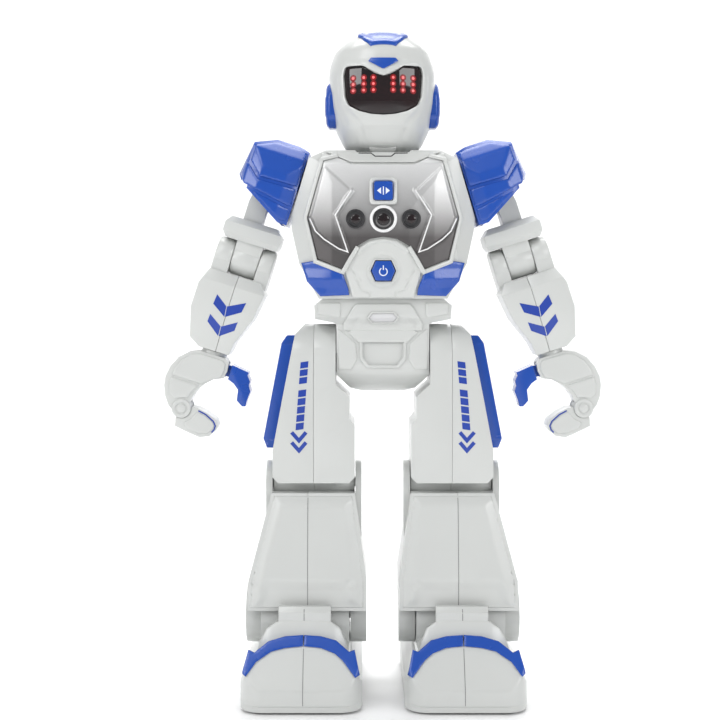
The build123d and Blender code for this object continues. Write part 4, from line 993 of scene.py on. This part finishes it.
CAP_UPPER = [(-1.0, 12.6), (-1.1, -1.3), (14.0, -1.8), (19.4, 3.4), (19.0, 9.8), (12.2, 13.4), (2.6, 13.4)]
CAP_MIDDLE = [(-1.1, -2.6), (14.2, -3.1), (21.2, 3.0), (22.2, -2.6), (19.4, -6.2), (0.4, -9.6), (-1.1, -9.6)]
CAP_LOWER = [(-1.1, -10.6), (0.6, -10.6), (15.8, -8.0), (10.0, -11.2), (1.8, -15.9), (-1.1, -15.9)]
CAP_PLATES = (("upper", CAP_UPPER, 0.85), ("middle", CAP_MIDDLE, 0.55), ("lower", CAP_LOWER, 0.35))
CHEVRONS = [[(54.21, 155.48), (61.85, 154.10), (62.65, 149.95), (56.09, 151.74)],
            [(62.1, 154.2), (65.72, 158.96), (67.33, 155.22), (62.95, 150.0)], [(57.58, 147.83),
        (64.25, 146.11), (65.3, 142.2), (59.03, 144.40)], [(64.5, 146.2), (68.51, 151.20), (69.74, 148.26),
                                                           (65.6, 142.3)], ]
PALM_PLATE = [(7.0, -76.2), (16.5, -76.2), (19.8, -77.6), (22.8, -80.9), (24.4, -85.0), (24.7, -87.8),
              (12.2, -87.8), (8.8, -84.9), (5.6, -83.0), (5.0, -79.6), (5.4, -77.2)]
KNUCKLE_PLATE = [(12.8, -88.6), (24.8, -88.6), (24.6, -92.2), (23.2, -95.6), (20.9, -96.5), (17.6, -95.2),
                 (15.7, -94.8), (15.5, -93.4), (14.4, -90.6)]
FINGER_PLATE = [(12.9, -106.6), (6.9, -107.2), (3.8, -105.9), (2.4, -103.6), (2.3, -102.2), (3.4, -101.1),
                (7.0, -99.5), (10.4, -98.9), (12.3, -102.6), (14.4, -104.6)]
FINGER_LINE = [(10.2, -98.4), (6.9, -99.0), (3.2, -100.7), (1.9, -102.2), (1.9, -103.8), (2.6, -105.2)]
HAND_PLATES = (
    ("palm_plate", PALM_PLATE, 0.55, "hand_", 0.9, 0.5),
    ("knuckle_plate", KNUCKLE_PLATE, 0.45, "hand_", 0.9, 0.4),
    ("finger_plate", FINGER_PLATE, 0.45, "finger_", 0.7, 0.4),
)
PIVOT_CAP = [(3.9, -0.6), (3.9, 0.35), (3.6, 0.6), (2.6, 0.6), (2.35, 0.25), (1.9, 0.2), (1.75, 0.65),
             (1.5, 0.8), (0.3, 0.85)]
SCREW_HEAD = [(1.25, -0.3), (1.25, 0.35), (1.05, 0.5), (0.5, 0.5), (0.42, 0.12), (0.05, 0.12)]
FOREARM_SCREWS = ((7.0, -50.0), (17.5, -50.0), (9.5, -64.0))
FINGER_PIVOT = (17.0, -99.5)
ELBOW_W = -35.3
KNUCKLE_RADIUS, BARREL_RADIUS = 6.9, 6.78
HOUSING_GAP = ((-0.8, 4.6), (15.9, 22.4))
BARREL_GAP = ((5.0, 15.5),)


def elbow_rings(side, radius, spans):
    """Rings about the elbow axis that close the clearance round it."""
    def place(y, w, u):
        x, z = arm_xz(side, u, w)
        return x, y, z
    profiles = ([(3.0, near), (radius - 0.4, near), (radius, near + 0.4), (radius, far - 0.4),
                 (radius - 0.4, far), (3.0, far)] for near, far in spans)
    return [lathe(profile, (0.0, ELBOW_W), place, 64) for profile in profiles]


for side, name in SIDES:
    joined("elbow_knuckles_" + name, elbow_rings(side, KNUCKLE_RADIUS, HOUSING_GAP), WHITE, "forearm_" + name)
    joined("elbow_barrel_" + name, elbow_rings(side, BARREL_RADIUS, BARREL_GAP), WHITE, "upper_arm_" + name)
    for back, view in ((1, "front"), (-1, "back")):
        on_cap = arm_place(side, cap_depth, back)
        for label, outline, lift in CAP_PLATES:
            panel(f"cap_{label}_{view}_{name}", outline, on_cap, lift, BLUE, "shoulder_" + name, under=-0.5)
        on_hand = arm_place(side, hand_depth, back)
        for label, outline, lift, body, step, edge in HAND_PLATES:
            panel(f"{label}_{view}_{name}", outline, on_hand, lift, WHITE, body + name, step=step, edge=edge,
                  under=-0.4)
        panel(f"finger_lining_{view}_{name}", thick_line(FINGER_LINE, 0.55), on_hand, 0.12, DECAL,
              "finger_" + name, step=0.4, edge=0.05)
        joined(f"finger_pivot_{view}_{name}", [lathe(PIVOT_CAP, FINGER_PIVOT, on_hand)], WHITE,
               "hand_" + name)
        on_forearm = arm_place(side, forearm_depth, back)
        if view == "front":
            flat_marks("forearm_chevrons_" + name, [arm_uv(mark) for mark in CHEVRONS], on_forearm, DECAL,
                       "forearm_" + name, 0.07)
        else:
            screws = [lathe(SCREW_HEAD, place, on_forearm, 20) for place in FOREARM_SCREWS]
            joined("forearm_screws_" + name, screws, STEEL, "forearm_" + name)

# --- legs and feet
THIGH_DEPTH = [(84.3, 14.4), (100.0, 15.6), (118.0, 15.6), (133.0, 14.0), (137.0, 13.4), (140.0, 12.1),
               (143.0, 9.8), (147.0, 1.0)]
SHIN_DEPTH = [(34.7, 19.0), (44.0, 19.0), (62.0, 16.6), (77.0, 14.8), (80.2, 13.6)]
SHIN_BACK = [(34.7, 19.0), (44.0, 19.0), (62.0, 16.6), (71.5, 14.6), (80.2, 0.5)]
TOE_DEPTH = [(2.0, 40.0), (9.0, 40.0), (11.5, 38.6), (26.0, 30.0), (30.0, 27.6)]
FOOT_EDGES = (8.2, 54.9)
FOOT_CORNER = 9.0
TOE_CORNER_DEPTH = 31.0
TOE_LIFT = (0.9, 0.25)


def leg_place(side, table, back=1):
    """Front or back surface of a leg part, by height."""
    def place(x, z, h):
        return side * x, -back * (level(table, z) + h), z
    return place


def toe_place(side):
    """Front of the foot: a sloping toe with round corners."""
    def place(x, z, h):
        slope = level(TOE_DEPTH, z)
        inset = max(0.0, FOOT_EDGES[0] + FOOT_CORNER - x, x - (FOOT_EDGES[1] - FOOT_CORNER))
        corner = TOE_CORNER_DEPTH + math.sqrt(max(0.0, FOOT_CORNER ** 2 - min(inset, FOOT_CORNER) ** 2))
        return side * x, -min(slope, corner) - h * TOE_LIFT[0], z + h * TOE_LIFT[1]
    return place


def slanted_block(centre_low, centre_high, half_width, slant):
    """Plain printed block, its ends cut at a slant."""
    (x0, z0), (x1, z1) = centre_low, centre_high
    return [(x0 - half_width, z0 + slant), (x0 + half_width, z0 - slant), (x1 + half_width, z1 - slant),
            (x1 - half_width, z1 + slant)]


BLOCK_LENGTHS = [2.7, 2.7, 2.7, 2.7, 2.7, 0.0, 2.5, 2.5, 2.5]
BLOCK_START, BLOCK_GAP, BLOCK_BREAK = 105.6, 0.55, 1.9
MARK_X, MARK_Z, MARK_LEAN = 32.9, 105.4, 0.073


def thigh_marks():
    """Two chevrons and a row of plain blocks along the outer front of the thigh."""
    marks = [thick_line([(30.3, top), (33.1, top - 3.3), (36.0, top)], 1.5) for top in (104.6, 100.6)]
    z = BLOCK_START
    for length in BLOCK_LENGTHS:
        if not length:
            z += BLOCK_BREAK
            continue
        x = MARK_X - (z - MARK_Z) * MARK_LEAN
        marks.append(slanted_block((x, z), (x - length * MARK_LEAN, z + length), 1.55, 0.22))
        z += length + BLOCK_GAP
    return marks


SHIN_FACE = [(12.1, 79.2), (43.0, 79.2), (51.7, 46.3), (52.0, 35.9), (7.7, 35.9), (7.7, 46.3)]
INSTEP_CLEARANCE = [(16.0, 30.0), (16.0, 42.6), (45.0, 42.6), (45.0, 30.0)]
CALF_PLATE = [(14.0, 70.0), (45.0, 70.0), (48.0, 46.6), (48.0, 39.2), (11.2, 39.2), (11.2, 46.6)]
CALF_SCREW = [(1.7, -0.3), (1.7, 1.0), (1.5, 1.15), (0.6, 1.15), (0.5, 0.6), (0.05, 0.6)]
CALF_SCREW_PLACES = ((16.0, 60.0), (43.0, 60.0), (14.5, 43.0), (44.5, 43.0))
SHIN_LIFT = 1.3
SHIN_RIM_FADE, INSTEP_FADE = 4.5, 5.0
SHIN_SEAM = thick_line([(29.6, 78.6), (29.6, 62.0), (29.6, 36.2)], 0.24)
TOE_SEAM = thick_line([(30.7, 23.2), (30.7, 16.0), (30.7, 9.0), (30.7, 3.6)], 0.24)
STEP_SEAM = thick_line([(30.7, 36.9), (30.7, 28.2)], 0.28)
STEP_DEPTH = [(20.0, 26.2), (35.6, 26.2), (37.7, 24.6)]
SHIN_SCREW = (12.6, 45.4)


def eased(value):
    """0 to 1 with soft ends."""
    share = np.clip(value, 0, 1)
    return share * share * (3 - 2 * share)


def shin_relief(points):
    """Crowned front plane that dies away to its rim and above the instep, with a shallow screw dimple."""
    points = np.asarray(points, float)
    away = np.where(inside(points, INSTEP_CLEARANCE), 0.0, edge_distance(points, INSTEP_CLEARANCE))
    dimple = np.hypot(points[:, 0] - SHIN_SCREW[0], points[:, 1] - SHIN_SCREW[1])
    crown = SHIN_LIFT * eased(edge_distance(points, SHIN_FACE) / SHIN_RIM_FADE) * eased(away / INSTEP_FADE)
    return 0.06 + crown - 0.6 * np.clip(2.4 - dimple, 0, 1) * (crown > 0.7)


def crown_place(side):
    """Front of the shin's crowned plane."""
    surface = leg_place(side, SHIN_DEPTH)

    def place(x, z, h):
        return surface(x, z, h + float(shin_relief([(x, z)])[0]))
    return place


TOE_CAP = [(9.2, 3.2), (9.2, 12.2), (10.8, 13.9), (15.8, 19.8), (18.8, 22.0), (24.0, 23.8), (30.7, 24.4),
           (37.7, 23.8), (43.2, 22.6), (48.9, 19.2), (52.6, 14.6), (53.9, 12.2), (53.9, 3.2)]
DOME = [(13.7, 19.6), (14.6, 25.0), (16.8, 29.8), (20.2, 32.2), (24.0, 33.0), (37.4, 33.0), (41.4, 32.2),
        (45.0, 29.8), (47.6, 25.0), (49.6, 20.0), (43.0, 23.4), (37.7, 24.8), (30.7, 25.6), (24.0,
        25.0), (18.8, 23.2)]
DOME_DEPTH = [(18.0, 30.8), (26.0, 28.4), (30.0, 26.9), (33.0, 25.6)]
DOME_MIDDLE, DOME_FLAT, DOME_FALL = 31.0, 9.0, 0.04


def dome_place(side):
    """Front of the foot's upper dome, falling back to both sides."""
    def place(x, z, h):
        fall = DOME_FALL * max(0.0, abs(x - DOME_MIDDLE) - DOME_FLAT) ** 2
        return side * x, -(level(DOME_DEPTH, z) - fall + h), z
    return place


BAND_INNER = [(9.0, 14.0), (11.1, 22.9), (13.2, 22.2), (18.2, 26.0), (24.1, 27.4), (30.5, 27.8), (30.5, 24.0),
              (24.0, 23.4), (18.8, 21.6), (15.8, 19.4), (10.9, 13.6)]
BAND_OUTER = [(30.9, 27.8), (37.7, 27.4), (44.2, 25.7), (49.5, 21.9), (51.8, 22.9), (54.1, 14.6),
              (52.4, 14.0), (48.6, 18.8), (43.0, 22.2), (37.7, 23.4), (30.9, 24.0)]
INSTEP_TOP = [(12.6, 18.0), (13.4, 21.6), (18.4, 25.3), (24.2, 26.8), (30.7, 27.2), (37.5, 26.8),
              (44.0, 25.1), (49.2, 21.4), (49.8, 18.0)]


INSTEP_SPAN = (-26.6, 22.5)


def instep(side):
    """Block over the instep, behind the foot band."""
    return [(side * x, y, z) for y in INSTEP_SPAN for x, z in INSTEP_TOP], prism_faces(len(INSTEP_TOP))


FAIRING_PROFILE = [(-35.8, 12.6), (-33.4, 18.6), (-31.4, 21.4), (-15.5, 13.2), (-15.5, 10.0), (-35.8, 10.0)]
FAIRING_SPANS = ((11.4, 13.2), (49.9, 51.7))


def fairing(side, span):
    """Wedge behind a tip of the foot band, closing it down on to the foot."""
    points = [(side * x, y, z) for x in span for y, z in FAIRING_PROFILE]
    return points, prism_faces(len(FAIRING_PROFILE))


for side, name in SIDES:
    foot = "foot_" + name
    fairings = joined("toe_fairings_" + name, [fairing(side, span) for span in FAIRING_SPANS], WHITE, foot)
    round_edges(fairings, 0.5, angle=30)
    on_thigh = leg_place(side, THIGH_DEPTH)
    flat_marks("thigh_marks_" + name, thigh_marks(), on_thigh, DECAL, "thigh_" + name, 0.07)
    on_shin = leg_place(side, SHIN_DEPTH)
    panel("shin_face_" + name, SHIN_FACE, on_shin, 0.0, WHITE, "shin_" + name, edge=0.0, relief=shin_relief,
          under=-0.6)
    # Painted shadow down the shin's seam groove.
    flat_marks("shin_seam_" + name, [SHIN_SEAM], crown_place(side), SEAM_SHADE, "shin_" + name)
    shin_back = leg_place(side, SHIN_BACK, -1)
    panel("calf_plate_" + name, CALF_PLATE, shin_back, 0.75, WHITE, "shin_" + name, step=1.4, edge=0.75,
          under=-0.5)
    screws = [lathe(CALF_SCREW, place, shin_back, 20) for place in CALF_SCREW_PLACES]
    joined("calf_screws_" + name, screws, STEEL, "shin_" + name)
    on_toe = toe_place(side)
    panel("toe_cap_" + name, TOE_CAP, on_toe, 0.4, WHITE, foot, edge=0.35, under=-2.5)
    panel("foot_dome_" + name, DOME, dome_place(side), 0.5, WHITE, foot, under=-1.2)
    for label, outline in (("inner", BAND_INNER), ("outer", BAND_OUTER)):
        panel(f"foot_band_{label}_{name}", outline, on_toe, 1.2, BLUE, foot, ("foot_band_" + name,), step=0.7,
              edge=0.35, under=-4.0)
    round_edges(joined("foot_instep_" + name, [instep(side)], WHITE, foot), 0.9, angle=30)
    # Painted shadows in the toe and step seam grooves.
    flat_marks("toe_seam_" + name, [TOE_SEAM], on_toe, SEAM_SHADE, foot, 0.47)
    flat_marks("step_seam_" + name, [STEP_SEAM], leg_place(side, STEP_DEPTH), SEAM_SHADE, foot, 0.05)

# --- floor and light
SWEEP_WIDTH, SWEEP_FRONT, SWEEP_BEND, SWEEP_RADIUS, SWEEP_TOP = 2.4, -1.6, 0.75, 0.5, 2.2
SWEEP_STEPS = 12
LIGHTS = (
    ("key", (-0.38, -0.62, 0.80), (0, 0, 0.13), (0.42, 0.42), 2.2),
    ("left_box", (-0.80, -0.50, 0.42), (0, 0, 0.16), (0.58, 0.30), 3.0),
    ("right_box", (0.72, -0.62, 0.42), (0, 0, 0.16), (0.70, 0.32), 3.5),
    ("top", (0.05, 0.20, 0.95), (0, 0, 0.1), (0.8, 0.5), 3.4),
    ("rim", (0.25, 0.75, 0.5), (0, 0, 0.18), (0.6, 0.4), 1.2),
    ("backdrop", (0.0, 0.45, 1.5), (0, 1.25, 0.35), (1.8, 0.5), 15.0),
)
ROOM_COLOUR, ROOM_STRENGTH = (0.97, 0.98, 1.0), 0.36


def studio():
    """Pale floor that runs up into a backdrop, soft lights and a bright even room."""
    material, tree, shader, place = node_setup("studio_floor")
    tree.links.new(colour_mix(tree, noise(tree, place, 3.0), (0.95, 0.95, 0.95), (0.97, 0.97, 0.97)),
                   shader.inputs["Base Color"])
    shader.inputs["Roughness"].default_value = 0.55
    profile = [(SWEEP_FRONT, 0.0), (SWEEP_BEND, 0.0)]
    for step in range(1, SWEEP_STEPS + 1):
        angle = math.radians(90 * step / SWEEP_STEPS)
        profile.append((SWEEP_BEND + SWEEP_RADIUS * math.sin(angle),
                        SWEEP_RADIUS - SWEEP_RADIUS * math.cos(angle)))
    profile.append((SWEEP_BEND + SWEEP_RADIUS, SWEEP_TOP))
    mesh = bpy.data.meshes.new("studio")
    points = [(side * SWEEP_WIDTH, y, z) for y, z in profile for side in (-1, 1)]
    faces = [(2 * i, 2 * i + 1, 2 * i + 3, 2 * i + 2) for i in range(len(profile) - 1)]
    mesh.from_pydata(points, [], faces)
    for polygon in mesh.polygons:
        polygon.use_smooth = True
    mesh.materials.append(material)
    sweep = bpy.data.objects.new("studio", mesh)
    SCENE.collection.objects.link(sweep)

    for name, location, target, size, power in LIGHTS:
        data = bpy.data.lights.new(name, "AREA")
        data.shape = "RECTANGLE"
        data.size, data.size_y = size
        data.energy = power
        lamp = bpy.data.objects.new(name, data)
        lamp.location = location
        lamp.rotation_euler = (Vector(target) - Vector(location)).to_track_quat("-Z", "Y").to_euler()
        SCENE.collection.objects.link(lamp)

    world = bpy.data.worlds.new("studio_world")
    world.use_nodes = True
    preset(world.node_tree.nodes["Background"], Color=(*ROOM_COLOUR, 1), Strength=ROOM_STRENGTH)
    SCENE.world = world
    SCENE.view_settings.view_transform = "Standard"


studio()
